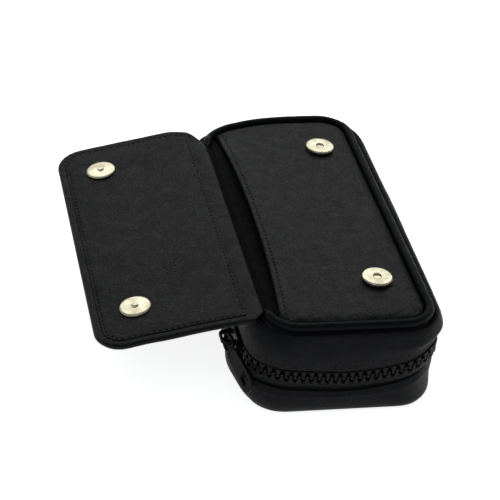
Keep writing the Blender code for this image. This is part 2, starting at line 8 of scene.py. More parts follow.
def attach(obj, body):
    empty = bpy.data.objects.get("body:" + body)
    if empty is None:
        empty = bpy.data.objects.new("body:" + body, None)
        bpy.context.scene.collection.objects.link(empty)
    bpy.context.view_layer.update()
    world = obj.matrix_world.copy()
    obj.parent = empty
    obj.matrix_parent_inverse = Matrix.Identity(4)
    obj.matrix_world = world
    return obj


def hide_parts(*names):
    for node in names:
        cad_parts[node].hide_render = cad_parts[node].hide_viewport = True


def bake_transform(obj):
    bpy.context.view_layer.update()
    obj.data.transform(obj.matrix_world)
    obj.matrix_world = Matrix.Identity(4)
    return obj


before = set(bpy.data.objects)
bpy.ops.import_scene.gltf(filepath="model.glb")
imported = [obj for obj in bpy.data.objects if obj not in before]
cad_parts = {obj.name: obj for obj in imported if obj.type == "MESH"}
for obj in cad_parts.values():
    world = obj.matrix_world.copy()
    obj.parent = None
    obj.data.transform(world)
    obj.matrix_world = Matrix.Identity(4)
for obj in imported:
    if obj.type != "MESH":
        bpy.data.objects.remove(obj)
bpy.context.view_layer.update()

MM = 0.001

# The case's plan and heights, in millimetres.
# A wall is a path of (grow_x, grow_y, z), grown out from the piping.
HALF_WIDTH = 37.0
HALF_LENGTH = 87.0
CORNER_RADIUS = 14.0
PIPING_Z = 46.0
PIPING_RADIUS = 2.1
ZIP_Z = 20.5
BASE_HEM_Z = 14.9
LID_HEM_Z = 26.3
LEATHER = 1.2
SNAP_X = 17.5
SNAP_Y = 56.0

# Stations round the plan: steps round each corner, along each short side, and beside and along the spine.
CORNERS = ((1, 1), (-1, 1), (-1, -1), (1, -1))
CORNER_STEPS = 14
SHORT_STEPS = 22
NEAR_STEPS = 12
SPINE_STEPS = 46
SPINE_HALF = 47.0
SPINE_FIRST = 2 * (CORNER_STEPS + 1) + SHORT_STEPS - 1 + NEAR_STEPS - 1
SPINE_LAST = SPINE_FIRST + SPINE_STEPS

# Stitches: how far apart, the share of that each covers, how thick, and how far above or below a hem's edge.
STITCH_PITCH = 2.7
STITCH_SHARE = 0.66
STITCH_RADIUS = 0.3
STITCH_RISE = 2.3
BASE_STITCH_Z = BASE_HEM_Z - STITCH_RISE
LID_STITCH_Z = LID_HEM_Z + STITCH_RISE

# The flap: its hinge line (x, z), the angle that it hangs at, its outline, where its lining lies on it,
# and how far out from the hinge the painted shade on its root reaches.
HINGE = (-37.2, 48.3)
DROOP = math.radians(11.9)
FLAP_LENGTH = 75.0
FLAP_HALF = 80.5
FLAP_CORNER = 14.0
LINING_INSET = 3.7
LINING_START = 8.9
LINING_LEVEL = -0.45
LINING_STITCH = 1.3
SHADE_REACH = 1.4


# ---------------------------------------------------------------- materials

def material(name, colour, roughness, metallic=0.0, specular=0.5, coat=0.0):
    """A Principled material and its node tree, for the detail to be added to."""
    made = bpy.data.materials.new(name)
    made.use_nodes = True
    shader = made.node_tree.nodes["Principled BSDF"]
    shader.inputs["Base Color"].default_value = (*colour, 1.0)
    shader.inputs["Roughness"].default_value = roughness
    shader.inputs["Metallic"].default_value = metallic
    shader.inputs["Specular IOR Level"].default_value = specular
    shader.inputs["Coat Weight"].default_value = coat
    return made


class Nodes:
    """Short calls for the nodes of one material."""

    def __init__(self, made):
        self.tree = made.node_tree
        self.shader = self.tree.nodes["Principled BSDF"]
        self.coordinate = self.tree.nodes.new("ShaderNodeTexCoord").outputs["Object"]

    def link(self, output, socket):
        self.tree.links.new(output, socket)

    def new(self, kind, **settings):
        node = self.tree.nodes.new(kind)
        for name, value in settings.items():
            setattr(node, name, value)
        return node

    def noise(self, size, detail=3.0, rough=0.55, vector=None):
        node = self.new("ShaderNodeTexNoise")
        node.inputs["Scale"].default_value = 1.0 / size
        node.inputs["Detail"].default_value = detail
        node.inputs["Roughness"].default_value = rough
        self.link(vector or self.coordinate, node.inputs["Vector"])
        return node.outputs["Fac"]

    def cells(self, size, feature="F1", vector=None):
        node = self.new("ShaderNodeTexVoronoi", feature=feature)
        node.inputs["Scale"].default_value = 1.0 / size
        self.link(vector or self.coordinate, node.inputs["Vector"])
        return node.outputs["Distance"]

    def wave(self, size, direction, vector=None, distortion=0.0):
        node = self.new("ShaderNodeTexWave", wave_type="BANDS", bands_direction=direction)
        node.inputs["Scale"].default_value = 0.314 / size
        node.inputs["Distortion"].default_value = distortion
        self.link(vector or self.coordinate, node.inputs["Vector"])
        return node.outputs["Fac"]

    def turned(self, degrees):
        node = self.new("ShaderNodeMapping")
        node.inputs["Rotation"].default_value = tuple(math.radians(d) for d in degrees)
        self.link(self.coordinate, node.inputs["Vector"])
        return node.outputs["Vector"]

    def span(self, value, low, high, out_low, out_high):
        node = self.new("ShaderNodeMapRange")
        names = ("From Min", "From Max", "To Min", "To Max")
        for name, number in zip(names, (low, high, out_low, out_high)):
            node.inputs[name].default_value = number
        self.link(value, node.inputs["Value"])
        return node.outputs["Result"]

    def maths(self, operation, a, b):
        node = self.new("ShaderNodeMath", operation=operation)
        for socket, value in zip(node.inputs, (a, b)):
            if isinstance(value, (int, float)):
                socket.default_value = value
            else:
                self.link(value, socket)
        return node.outputs["Value"]

    def mix(self, factor, a, b):
        node = self.new("ShaderNodeMix", data_type="RGBA")
        self.link(factor, node.inputs["Factor"])
        for name, colour in (("A", a), ("B", b)):
            socket = next(s for s in node.inputs if s.name == name and s.type == "RGBA")
            if isinstance(colour, tuple):
                socket.default_value = (*colour, 1.0)
            else:
                self.link(colour, socket)
        return next(s for s in node.outputs if s.type == "RGBA")

    def edges(self, low=0.5, high=0.6):
        """0 on flat faces and 1 on worn outer edges."""
        geometry = self.new("ShaderNodeNewGeometry")
        return self.span(geometry.outputs["Pointiness"], low, high, 0.0, 1.0)

    def bump(self, height, distance, strength=1.0, after=None):
        node = self.new("ShaderNodeBump")
        node.inputs["Distance"].default_value = distance
        node.inputs["Strength"].default_value = strength
        self.link(height, node.inputs["Height"])
        if after is not None:
            self.link(after, node.inputs["Normal"])
        return node.outputs["Normal"]

    def set(self, **links):
        for name, output in links.items():
            self.link(output, self.shader.inputs[name.replace("_", " ")])


def leather(name, dark, light, roughness, grain=0.0009, specular=0.12, gathered=0.0):
    """Soft full-grain leather: pebbled cells, uneven sheen, worn edges, and gathers by a seam at +-y."""
    made = material(name, dark, roughness, specular=specular)
    n = Nodes(made)
    wander = n.new("ShaderNodeTexNoise")
    wander.inputs["Scale"].default_value = 1.0 / 0.004
    n.link(n.coordinate, wander.inputs["Vector"])
    shift = n.new("ShaderNodeVectorMath", operation="SCALE")
    shift.inputs["Scale"].default_value = 0.0012
    n.link(wander.outputs["Color"], shift.inputs[0])
    warp = n.new("ShaderNodeVectorMath", operation="ADD")
    n.link(n.coordinate, warp.inputs[0])
    n.link(shift.outputs["Vector"], warp.inputs[1])
    place = warp.outputs["Vector"]
    pebbles = n.span(n.cells(grain, "DISTANCE_TO_EDGE", place), 0.0, 0.35, 0.0, 1.0)
    coarse = n.span(n.cells(grain * 2.7, "DISTANCE_TO_EDGE", place), 0.0, 0.22, 0.0, 1.0)
    height = n.maths("ADD", n.maths("MULTIPLY", pebbles, 0.7), n.maths("MULTIPLY", coarse, 0.18))
    height = n.maths("ADD", height, n.maths("MULTIPLY", n.noise(grain * 0.5, 2.0), 0.2))
    drape = n.bump(n.noise(0.016, 2.0), 0.0022, 0.24)
    if gathered:
        split = n.new("ShaderNodeSeparateXYZ")
        n.link(n.coordinate, split.inputs["Vector"])
        by_seam = n.maths("ABSOLUTE", split.outputs["Y"], 0.0)
        near = n.maths("MULTIPLY", n.span(by_seam, gathered - 0.0062, gathered - 0.003, 0.0, 1.0),
                       n.span(n.noise(0.008), 0.35, 0.6, 0.4, 1.0))
        gathers = n.maths("MULTIPLY", n.wave(0.0019, "X", distortion=2.4), near)
        drape = n.bump(gathers, 0.0004, 0.7, after=drape)
    tone = n.span(n.noise(0.022, 4.0), 0.3, 0.7, 0.0, 1.0)
    worn = tuple(min(1.0, 2.2 * c + 0.004) for c in light)
    wear = n.maths("MULTIPLY", n.edges(0.52, 0.66), n.span(tone, 0, 1, 0.35, 0.9))
    shine = n.maths("ADD", n.span(n.noise(0.006, 3.0), 0.3, 0.7, roughness - 0.07, roughness + 0.07),
                    n.span(pebbles, 0.0, 1.0, 0.06, 0.0))
    n.set(Base_Color=n.mix(wear, n.mix(tone, dark, light), worn), Roughness=shine)
    n.set(Normal=n.bump(height, 0.0002, 0.8, after=drape))
    return made


def woven(name, dark, light, pitch, twill=False):
    """Cloth or tape: two sets of threads crossing, with uneven tone."""
    made = material(name, dark, 0.8, specular=0.2)
    n = Nodes(made)
    n.shader.inputs["Sheen Weight"].default_value = 0.25
    n.shader.inputs["Sheen Roughness"].default_value = 0.4
    place = n.turned((0, 0, 45)) if twill else n.coordinate
    across, along, up = (n.wave(pitch, axis, place) for axis in "XYZ")
    height = n.maths("ADD", n.maths("MAXIMUM", across, along), n.maths("MULTIPLY", up, 0.8))
    tone = n.maths("MULTIPLY", n.span(height, 0.4, 1.8, 0.0, 1.0),
                   n.span(n.noise(0.004), 0.3, 0.7, 0.5, 1.0))
    n.set(Base_Color=n.mix(tone, dark, light), Normal=n.bump(height, pitch * 0.35, 0.8))
    n.set(Roughness=n.span(n.noise(0.003), 0.3, 0.7, 0.74, 0.86))
    return made


def plastic(name, dark, light):
    """Moulded zip teeth: smooth, faintly flow-marked, with rubbed corners."""
    made = material(name, dark, 0.36, specular=0.1)
    n = Nodes(made)
    tone = n.span(n.noise(0.003, 4.0), 0.35, 0.65, 0.0, 1.0)
    colour = n.mix(n.edges(0.51, 0.6), n.mix(tone, dark, light), tuple(1.5 * c for c in light))
    n.set(Base_Color=colour, Roughness=n.span(n.noise(0.0012, 3.0), 0.3, 0.7, 0.38, 0.56))
    n.set(Normal=n.bump(n.noise(0.0006, 3.0), 0.00004, 0.5))
    return made


def painted_metal(name, dark, light):
    """Black lacquered die-cast metal, glossy, with rubbed bright edges."""
    made = material(name, dark, 0.4, specular=0.05, coat=0.01)
    n = Nodes(made)
    n.shader.inputs["Coat Roughness"].default_value = 0.12
    tone = n.span(n.noise(0.004, 4.0), 0.35, 0.65, 0.0, 1.0)
    worn = n.maths("MULTIPLY", n.edges(0.52, 0.62), n.span(n.noise(0.0016), 0.4, 0.6, 0.25, 1.0))
    n.set(Base_Color=n.mix(worn, n.mix(tone, dark, light), (0.012, 0.012, 0.013)))
    n.set(Roughness=n.span(n.noise(0.001, 4.0), 0.3, 0.7, 0.34, 0.52))
    n.set(Normal=n.bump(n.noise(0.0011, 3.0), 0.00005, 0.4))
    return made


def nickel(name, dark, light):
    """Warm nickel plate, finely scratched and faintly smudged."""
    made = material(name, light, 0.28, metallic=1.0)
    n = Nodes(made)
    smudge = n.span(n.noise(0.005, 4.0), 0.35, 0.7, 0.0, 1.0)
    scratch = n.noise(0.0004, 2.0, vector=n.turned((0, 0, 30)))
    n.set(Base_Color=n.mix(smudge, light, dark))
    n.set(Roughness=n.maths("ADD", n.span(smudge, 0, 1, 0.24, 0.36), n.span(scratch, 0.4, 0.6, -0.03, 0.03)))
    n.set(Normal=n.bump(n.noise(0.0003, 4.0), 0.00001, 0.5))
    return made


def thread(name, dark, light):
    """Twisted thread, its plies running slantwise."""
    made = material(name, dark, 0.55, specular=0.12)
    n = Nodes(made)
    n.shader.inputs["Sheen Weight"].default_value = 0.03
    ply = n.wave(0.0006, "X", n.turned((20, 30, 45)))
    n.set(Base_Color=n.mix(ply, dark, light), Normal=n.bump(ply, 0.0001, 0.8))
    n.set(Roughness=n.span(n.noise(0.002), 0.3, 0.7, 0.45, 0.62))
    return made


def elastic(name, dark, light):
    """Ribbed elastic webbing: ribs run round the pens, crossed by fine rubber threads."""
    made = material(name, dark, 0.75, specular=0.25)
    n = Nodes(made)
    n.shader.inputs["Sheen Weight"].default_value = 0.3
    ribs = n.wave(0.0011, "Y")
    threads = n.wave(0.0007, "X", distortion=0.6)
    height = n.maths("ADD", ribs, n.maths("MULTIPLY", threads, 0.35))
    n.set(Base_Color=n.mix(n.span(height, 0.2, 1.3, 0.0, 1.0), dark, light))
    n.set(Normal=n.bump(height, 0.0003, 0.8), Roughness=n.span(n.noise(0.003), 0.3, 0.7, 0.68, 0.82))
    return made


def board(name, dark, light):
    """Grey-brown pressed fibre board."""
    made = material(name, dark, 0.9, specular=0.2)
    n = Nodes(made)
    fibres = n.noise(0.0012, 6.0, 0.7)
    n.set(Base_Color=n.mix(n.span(fibres, 0.35, 0.65, 0, 1), dark, light), Normal=n.bump(fibres, 0.0002, 0.6))
    n.set(Roughness=n.span(n.noise(0.004), 0.3, 0.7, 0.82, 0.95))
    return made


# One leather in lit and shaded copies: the top panels' tones below are lighter as painted light from above.
LIT_PANEL_TONES = ((0.0030, 0.0032, 0.0031), (0.0042, 0.0044, 0.0042))
POCKET_SEAM = 0.0849
# The walls, the bottom panel and the piping take a darker, bluer copy of the same leather: painted shade.
LEATHER_SHADED_COPY = leather("nappa_leather_shaded_copy", (0.0018, 0.0020, 0.0028), (0.0030, 0.0032, 0.0042), 0.46,
                       0.0009, 0.075)
LEATHER_LIT_COPY = leather("nappa_panel_lit_copy", *LIT_PANEL_TONES, 0.43, 0.0010, 0.12)
LEATHER_POCKET_LIT_COPY = leather("nappa_pocket_lit_copy", *LIT_PANEL_TONES, 0.43, 0.0010, 0.13, POCKET_SEAM)
# Near-black leather that is painted shade: it stands for the shade in the pocket's mouth and by the flap's
# root.
LEATHER_SHADE = leather("leather_painted_shade", (0.0012, 0.0012, 0.0013), (0.0018, 0.0018, 0.002), 0.6,
                        0.0009, 0.04)
LINING = woven("lining_twill", (0.014, 0.014, 0.016), (0.030, 0.030, 0.034), 0.0007, twill=True)
TAPE = woven("zip_tape_weave", (0.0020, 0.0020, 0.0024), (0.005, 0.005, 0.0055), 0.0008)
TEETH = plastic("moulded_plastic", (0.0030, 0.0030, 0.0034), (0.0050, 0.0050, 0.0056))
METAL = painted_metal("lacquered_metal", (0.004, 0.004, 0.0045), (0.008, 0.008, 0.009))
NICKEL = nickel("warm_nickel", (0.42, 0.37, 0.27), (0.60, 0.55, 0.43))
THREAD = thread("bonded_thread", (0.0016, 0.0016, 0.0018), (0.0040, 0.0040, 0.0044))
ELASTIC = elastic("ribbed_elastic", (0.012, 0.012, 0.013), (0.034, 0.034, 0.036))
BOARD = board("fibre_board", (0.16, 0.13, 0.10), (0.30, 0.25, 0.20))


# ---------------------------------------------------------------- unevenness

def waves(x, y, z, size, seed=0.0):
    """Smooth unevenness from -1 to 1, of about that size in millimetres."""
    return noise.noise(Vector((x / size + seed, y / size - seed, z / size + 2.7 * seed)))


def ease(value, low, high):
    """0 below low, 1 above high, smooth between."""
    t = min(1.0, max(0.0, (value - low) / (high - low)))
    return t * t * (3 - 2 * t)


def dip(distance, width):
    """1 at no distance, falling smoothly to nothing over about twice the width."""
    return math.exp(-(distance / width) ** 2)


def settled(point):
    """Where a point of the soft case comes to lie.

    Its back-left top corner sinks, and its zip rises at the front corners and sags between them.
    """
    x, y, z = point
    corner = dip(math.hypot(x + 38, y - 88), 24.0) * ease(z, 24, 46)
    sunk = 4.2 * corner
    x, y = x + 2.0 * corner, y - 2.4 * corner
    raised = 7.5 * dip(math.hypot(x - 42, y + 84), 17.0) + 1.2 * dip(math.hypot(x + 36, y + 88), 14.0)
    raised -= 1.3 * dip(math.hypot(x + 2, y + 89), 15.0)
    raised *= 1 - ease(abs(z - 21), 5, 20)
    return x, y, z - sunk + raised


def settled_root(point):
    """The flap settles with the lid only along its root."""
    low = settled(point)
    part = ease(point[0], -44.0, -38.0)
    return tuple(a + (b - a) * part for a, b in zip(point, low))


# ---------------------------------------------------------------- mesh tools

def finish_mesh(name, bm, finish, levels=1, merge=1e-6):
    """An object from a bmesh, its normals outwards and its subdivision applied."""
    bmesh.ops.remove_doubles(bm, verts=bm.verts, dist=merge)
    bmesh.ops.recalc_face_normals(bm, faces=bm.faces)
    mesh = bpy.data.meshes.new(name)
    bm.to_mesh(mesh)
    bm.free()
    obj = bpy.data.objects.new(name, mesh)
    bpy.context.scene.collection.objects.link(obj)
    mesh.materials.append(finish)
    if levels:
        modifier = obj.modifiers.new("smooth", "SUBSURF")
        modifier.levels = levels
        modifier.render_levels = levels
        apply_modifiers(obj)
    obj.data.shade_smooth()
    return obj


def apply_modifiers(obj):
    bpy.context.view_layer.update()
    graph = bpy.context.evaluated_depsgraph_get()
    mesh = bpy.data.meshes.new_from_object(obj.evaluated_get(graph))
    obj.modifiers.clear()
    old = obj.data
    obj.data = mesh
    mesh.name = obj.name
    bpy.data.meshes.remove(old)


def add_rows(bm, rows, loop_columns=False, caps=False, place=settled):
    """Quads through rows of points given in millimetres, where the soft case has settled."""
    verts = [[bm.verts.new(Vector(place(p)) * MM) for p in row] for row in rows]
    width = len(verts[0])
    for a, b in zip(verts, verts[1:]):
        for i in range(width if loop_columns else width - 1):
            j = (i + 1) % width
            bm.faces.new((a[i], a[j], b[j], b[i]))
    if caps:
        bm.faces.new(verts[0])
        bm.faces.new(list(reversed(verts[-1])))
    return verts


def slab(name, top, bottom, finish, place=settled, levels=1, merge=1e-6):
    """An object that is a closed sheet between two grids of points of the same size."""
    bm = bmesh.new()
    loops = []
    for points in (top, bottom):
        grid = add_rows(bm, points, place=place)
        loop = list(grid[0]) + [row[-1] for row in grid[1:]]
        loop += list(reversed(grid[-1][:-1])) + [row[0] for row in reversed(grid[1:-1])]
        loops.append(loop)
    upper, lower = loops
    for i in range(len(upper)):
        j = (i + 1) % len(upper)
        bm.faces.new((upper[i], upper[j], lower[j], lower[i]))
    return finish_mesh(name, bm, finish, levels, merge)


def place_on(piece, body, slot, *nodes):
    """Rides a piece on its body, standing for the CAD nodes that it replaces. Its slot is not used."""
    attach(piece, body)
    if nodes:
        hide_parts(*nodes)


def circle(steps):
    """The cosine and sine of each step round a circle."""
    return [(math.cos(2 * math.pi * k / steps), math.sin(2 * math.pi * k / steps)) for k in range(steps)]


def curve_through(points, step):
    """Catmull-Rom points through the given ones, about a step apart."""
    points = [Vector(p) for p in points]
    padded = [2 * points[0] - points[1], *points, 2 * points[-1] - points[-2]]
    result = []
    for a, b, c, d in zip(padded, padded[1:], padded[2:], padded[3:]):
        count = max(1, round((c - b).length / step))
        for i in range(count):
            t = i / count
            result.append(0.5 * (2 * b + (c - a) * t + (2 * a - 5 * b + 4 * c - d) * t * t
                                 + (3 * b - a - 3 * c + d) * t ** 3))
    result.append(points[-1])
    return result


# ---------------------------------------------------------------- plan outline

def plan(grow_x, grow_y):
    """(x, y, normal_x, normal_y) round the case, anticlockwise from the back-right corner."""
    half_width = HALF_WIDTH + grow_x
    half_length = HALF_LENGTH + grow_y
    radius = CORNER_RADIUS + (grow_x + grow_y) / 2
    centres = [(sx * (half_width - radius), sy * (half_length - radius)) for sx, sy in CORNERS]
    points = []
    for corner, (cx, cy) in enumerate(centres):
        for step in range(CORNER_STEPS + 1):
            angle = math.radians(90 * (corner + step / CORNER_STEPS))
            points.append((cx + radius * math.cos(angle), cy + radius * math.sin(angle),
                           math.cos(angle), math.sin(angle)))
        far_x, far_y = centres[(corner + 1) % 4]
        if corner % 2 == 0:
            line = [(cx + (far_x - cx) * k / SHORT_STEPS, cy) for k in range(1, SHORT_STEPS)]
        else:
            side = 1 if cy > 0 else -1
            near, last = side * SPINE_HALF, -side * SPINE_HALF
            ys = [cy + (near - cy) * k / NEAR_STEPS for k in range(1, NEAR_STEPS + 1)]
            ys += [near + (last - near) * k / SPINE_STEPS for k in range(1, SPINE_STEPS + 1)]
            ys += [last + (far_y - last) * k / NEAR_STEPS for k in range(1, NEAR_STEPS)]
            line = [(cx, y) for y in ys]
        angle = math.radians(90 * (corner + 1))
        nx, ny = round(math.cos(angle)), round(math.sin(angle))
        points += [(x + radius * nx, y + radius * ny, nx, ny) for x, y in line]
    return points


STATIONS = len(plan(0, 0))
AWAY_FROM_SPINE = [i % STATIONS for i in range(SPINE_LAST, STATIONS + SPINE_FIRST + 1)]
ALONG_SPINE = list(range(SPINE_FIRST, SPINE_LAST + 1))


def thick_path(path, thickness):
    """A closed section: the outer path, round its end, back inside it, and round its start."""
    inner = []
    for i, point in enumerate(path):
        before, after = path[max(i - 1, 0)], path[min(i + 1, len(path) - 1)]
        run = ((after[0] + after[1]) - (before[0] + before[1])) / 2
        rise = after[2] - before[2]
        length = math.hypot(run, rise) or 1.0
        inward, up = -rise / length, run / length
        inner.append(Vector((point[0] + inward * thickness, point[1] + inward * thickness,
                             point[2] + up * thickness)))
    ends = []
    for outer, inside, base, other in ((path[-1], inner[-1], path[-1], path[-2]),
                                       (inner[0], path[0], path[0], path[1])):
        middle = (outer + inside) / 2 + (base - other).normalized() * thickness / 2
        ends.append([outer * 0.6 + middle * 0.6 - (outer + inside) * 0.1, middle,
                     inside * 0.6 + middle * 0.6 - (outer + inside) * 0.1])
    return [*path, *ends[0], *reversed(inner), *ends[1]]


def wall(name, path, stations, push):
    """A leather wall round part of the plan. push(x, y, z) says how far a point stands out."""
    rings = []
    for grow_x, grow_y, z in thick_path(path, LEATHER):
        rings.append([point for point, _ in wall_line(grow_x, grow_y, z, stations, push, 0.0)])
    bm = bmesh.new()
    add_rows(bm, list(zip(*rings)), loop_columns=True, caps=True)
    # The walls take the darker, bluer copy of the leather, painted shade on the sides.
    return finish_mesh(name, bm, LEATHER_SHADED_COPY)


# ---------------------------------------------------------------- stitches

def add_stitch(bm, start, end, up):
    """One stitch: a short tapered bead of thread lying along its seam and sunk at both ends."""
    side = (end - start).normalized().cross(up).normalized()
    rings = []
    for part, size, lift in ((0.0, 0.45, -0.32), (0.16, 0.95, -0.02), (0.5, 1.0, 0.07),
                             (0.84, 0.95, -0.02), (1.0, 0.45, -0.32)):
        centre = start.lerp(end, part) + up * lift
        rings.append([centre + (side * a + up * b * 0.75) * STITCH_RADIUS * size for a, b in circle(6)])
    add_rows(bm, rings, loop_columns=True, caps=True, place=tuple)


def stitches(name, line, body, place=settled):
    """A row of stitches along (point, surface normal) pairs, in one mesh."""
    bm = bmesh.new()
    places = [Vector(place(p)) for p, _ in line]
    normals = [Vector(n).normalized() for _, n in line]
    travelled = [0.0]
    for a, b in zip(places, places[1:]):
        travelled.append(travelled[-1] + (b - a).length)

    def at(distance):
        for i in range(len(places) - 1):
            if distance <= travelled[i + 1]:
                part = (distance - travelled[i]) / max(travelled[i + 1] - travelled[i], 1e-9)
                return places[i].lerp(places[i + 1], part), normals[i].lerp(normals[i + 1], part).normalized()
        return places[-1], normals[-1]

    count = max(1, int(travelled[-1] / STITCH_PITCH))
    spacing = travelled[-1] / count
    for k in range(count):
        start, up = at((k + 0.5 - STITCH_SHARE / 2) * spacing)
        end, _ = at((k + 0.5 + STITCH_SHARE / 2) * spacing)
        add_stitch(bm, start, end, up)
    place_on(finish_mesh(name, bm, THREAD, levels=0), body, "case_leather")


def wall_line(grow_x, grow_y, z, stations, push, lift=0.05):
    """(point, normal) pairs along a wall at one height."""
    around = plan(grow_x, grow_y)
    line = []
    for i in stations:
        x, y, nx, ny = around[i]
        out = push(x, y, z) + lift
        line.append(((x + nx * out, y + ny * out, z), (nx, ny, 0.0)))
    return line


def on_path(path, z):
    """(grow_x, grow_y) of a wall path's outer face at a height."""
    for a, b in zip(path, path[1:]):
        if min(a[2], b[2]) <= z <= max(a[2], b[2]) and a[2] != b[2]:
            part = (z - a[2]) / (b[2] - a[2])
            return a[0] + (b[0] - a[0]) * part, a[1] + (b[1] - a[1]) * part
    return path[0][0], path[0][1]


# ---------------------------------------------------------------- the shells

def seam_puckers(x, y, wavelength, seed):
    """Gathers across a seam, irregular along it."""
    run = math.atan2(y / HALF_LENGTH, x / HALF_WIDTH) * 60 + (x - y) * 0.35
    base = noise.noise(Vector((x / wavelength + seed, y / wavelength, 0.3)))
    fine = noise.noise(Vector((x / wavelength * 1.9, y / wavelength * 1.9 + seed, run * 0.01)))
    return base + 0.5 * fine


LID_TOP = [(8.7, 5.1, 34.2), (8.4, 4.8, 37.8), (7.4, 4.3, 40.9), (6.2, 3.8, 42.9), (5.3, 3.4, 43.9),
           (4.5, 3.1, 44.2), (3.6, 2.8, 43.7), (2.6, 2.3, 42.8), (1.6, 1.5, 42.0)]
BASE_PATH = curve_through([(3.6, 1.0, 0.9), (5.4, 2.1, 1.5), (6.9, 3.4, 3.5), (7.8, 4.2, 6.6),
                           (8.0, 4.4, 10.0), (7.8, 4.2, 12.6), (7.5, 3.9, 14.3)], 0.9)
LID_PATH = curve_through([(7.3, 3.7, 26.5), (7.8, 4.2, 28.2), (8.5, 4.9, 31.2), *LID_TOP], 0.8)
SPINE_PATH = curve_through([(3.6, 1.0, 0.9), (5.4, 2.1, 1.5), (6.9, 3.4, 3.5), (8.2, 4.4, 8.5),
                            (8.6, 4.4, 16.0), (8.7, 4.4, 21.5), (8.8, 4.4, 25.0), (8.9, 4.6, 28.0),
                            (8.9, 4.9, 31.2), *LID_TOP], 0.8)


def lower_bulge(x, y, z):
    """How far the lower wall swells out under the slider."""
    return 3.0 * dip(math.hypot(x + 44, y + 58), 13.0) * ease(z, 1.5, 6.0) * (1 - ease(z, 10.5, 14.5))


def base_push(x, y, z):
    """How far the lower wall stands out, with its hem, its bulge and a tuck at the front right."""
    soft = (0.35 * waves(x, y, z, 26, 3.1) + 0.12 * waves(x, y, z, 9, 5.2)) * ease(z, 1.2, 4.0)
    groove = 0.3 * dip(z - BASE_STITCH_Z, 0.7)
    hem = 0.3 * ease(z, BASE_HEM_Z - 4.6, BASE_HEM_Z - 3.4)
    tucked = 2.5 * dip(math.hypot(x - 44, y + 82), 22.0) * ease(z, 1.0, 9.0)
    return soft + hem - groove - tucked + lower_bulge(x, y, z)


def lid_push(x, y, z):
    """How far the lid's wall stands out: it gathers into its top seam and fills out at the right."""
    soft = 0.45 * waves(x, y, z, 30, 1.7) + 0.16 * waves(x, y, z, 10, 4.4)
    near_seam = ease(z, 39.5, 43.0)
    gather = 0.22 * near_seam * seam_puckers(x, y, 3.4, 2.0) * (1.0 if y < -60 else 0.6)
    groove = 0.3 * dip(z - LID_STITCH_Z, 0.7)
    hem = 0.25 * (1 - ease(z, LID_HEM_Z + 3.6, LID_HEM_Z + 4.8))
    fuller = 1.2 * ease(x, 20, 40) * ease(y, -50, 10) * dip(z - 35, 9)
    tucked = 1.5 * dip(math.hypot(x - 42, y + 84), 22.0) * (1 - 0.6 * ease(z, 27, 38))
    return soft * (1 - near_seam) + gather + hem - groove + fuller - tucked


def spine_push(x, y, z):
    soft = 0.3 * waves(x, y, z, 26, 3.1) * ease(z, 1.2, 4.0) * (1 - ease(z, 39.5, 43.0))
    crease = 0.25 * dip(z - 25.0, 1.2)
    return soft - crease + 0.15 + lower_bulge(x, y, z)


def build_shells():
    """The lower wall, the lid's wall, the spine that joins them, and their stitches."""
    place_on(wall("base_gusset_leather", BASE_PATH, AWAY_FROM_SPINE, base_push),
             "base", "case_leather", "base_gusset")
    place_on(wall("lid_gusset_leather", LID_PATH, AWAY_FROM_SPINE, lid_push),
             "lid", "case_leather", "lid_gusset")
    spine = wall("spine_leather", SPINE_PATH, ALONG_SPINE, spine_push)
    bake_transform(spine)
    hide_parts("spine_upper", "spine_lower")
    for name, path, z, push, body in (("base_hem_stitches", BASE_PATH, BASE_STITCH_Z, base_push, "base"),
                                      ("lid_hem_stitches", LID_PATH, LID_STITCH_Z, lid_push, "lid")):
        stitches(name, wall_line(*on_path(path, z), z, AWAY_FROM_SPINE[1:-1], push), body)
    for side, i in (("front", SPINE_LAST - 1), ("back", SPINE_FIRST + 1)):
        for half, low, high, body in (("lower", 3.0, 20.5, "base"), ("upper", 29.5, 40.0, "lid")):
            line = []
            for k in range(20):
                z = low + (high - low) * k / 19
                x, y, nx, ny = plan(*on_path(SPINE_PATH, z))[i]
                line.append(((x - spine_push(x, y, z) - 0.05, y, z), (nx, ny, 0)))
            stitches(f"spine_stitches_{side}_{half}", line, body)


def rounded_limit(x, half_width, half_length, corner):
    """The half length of a rounded rectangle at x."""
    inside = max(0.0, abs(x) - (half_width - corner))
    return half_length - corner + math.sqrt(max(corner * corner - inside * inside, 0.0))


def stops(low, high, fine, coarse, margin):
    """Values from low to high, a fine step apart within a margin of both ends and coarse between."""
    values, value = [], low
    while value < high - 1e-6:
        values.append(value)
        value += fine if min(value - low, high - value) < margin else coarse
    if high - values[-1] < fine * 0.5:
        values[-1] = high
    else:
        values.append(high)
    return values


def rounded_grid(outline, xs, shares, height):
    """Rows of points over a rounded rectangle, each row spread over its length there."""
    grid = []
    for x in xs:
        limit = rounded_limit(x, *outline)
        grid.append([(x, share * limit, height(x, share * limit)) for share in shares])
    return grid


def shares_across(count):
    """Shares from -1 to 1, that many on each side of the middle."""
    return [s / count - 1 for s in range(2 * count + 1)]


def corner_stops(half, corner, step):
    """x values across a rounded rectangle, close together where its corners turn."""
    angles = (12, 24, 36, 47, 57, 66, 74, 80, 85, 90)
    turns = [half - corner + corner * math.sin(math.radians(a)) for a in angles]
    count = max(2, round(2 * (half - corner) / step))
    middle = [-(half - corner) + 2 * (half - corner) * k / count for k in range(count + 1)]
    return [-x for x in reversed(turns)] + middle + turns

# Half width, half length and corner radius.
BOTTOM = (41.3, 88.5, 15.4)
LID_PANEL = (35.4, 85.4, 12.4)
LID_BOARD = (34.0, 84.0, 12.0)


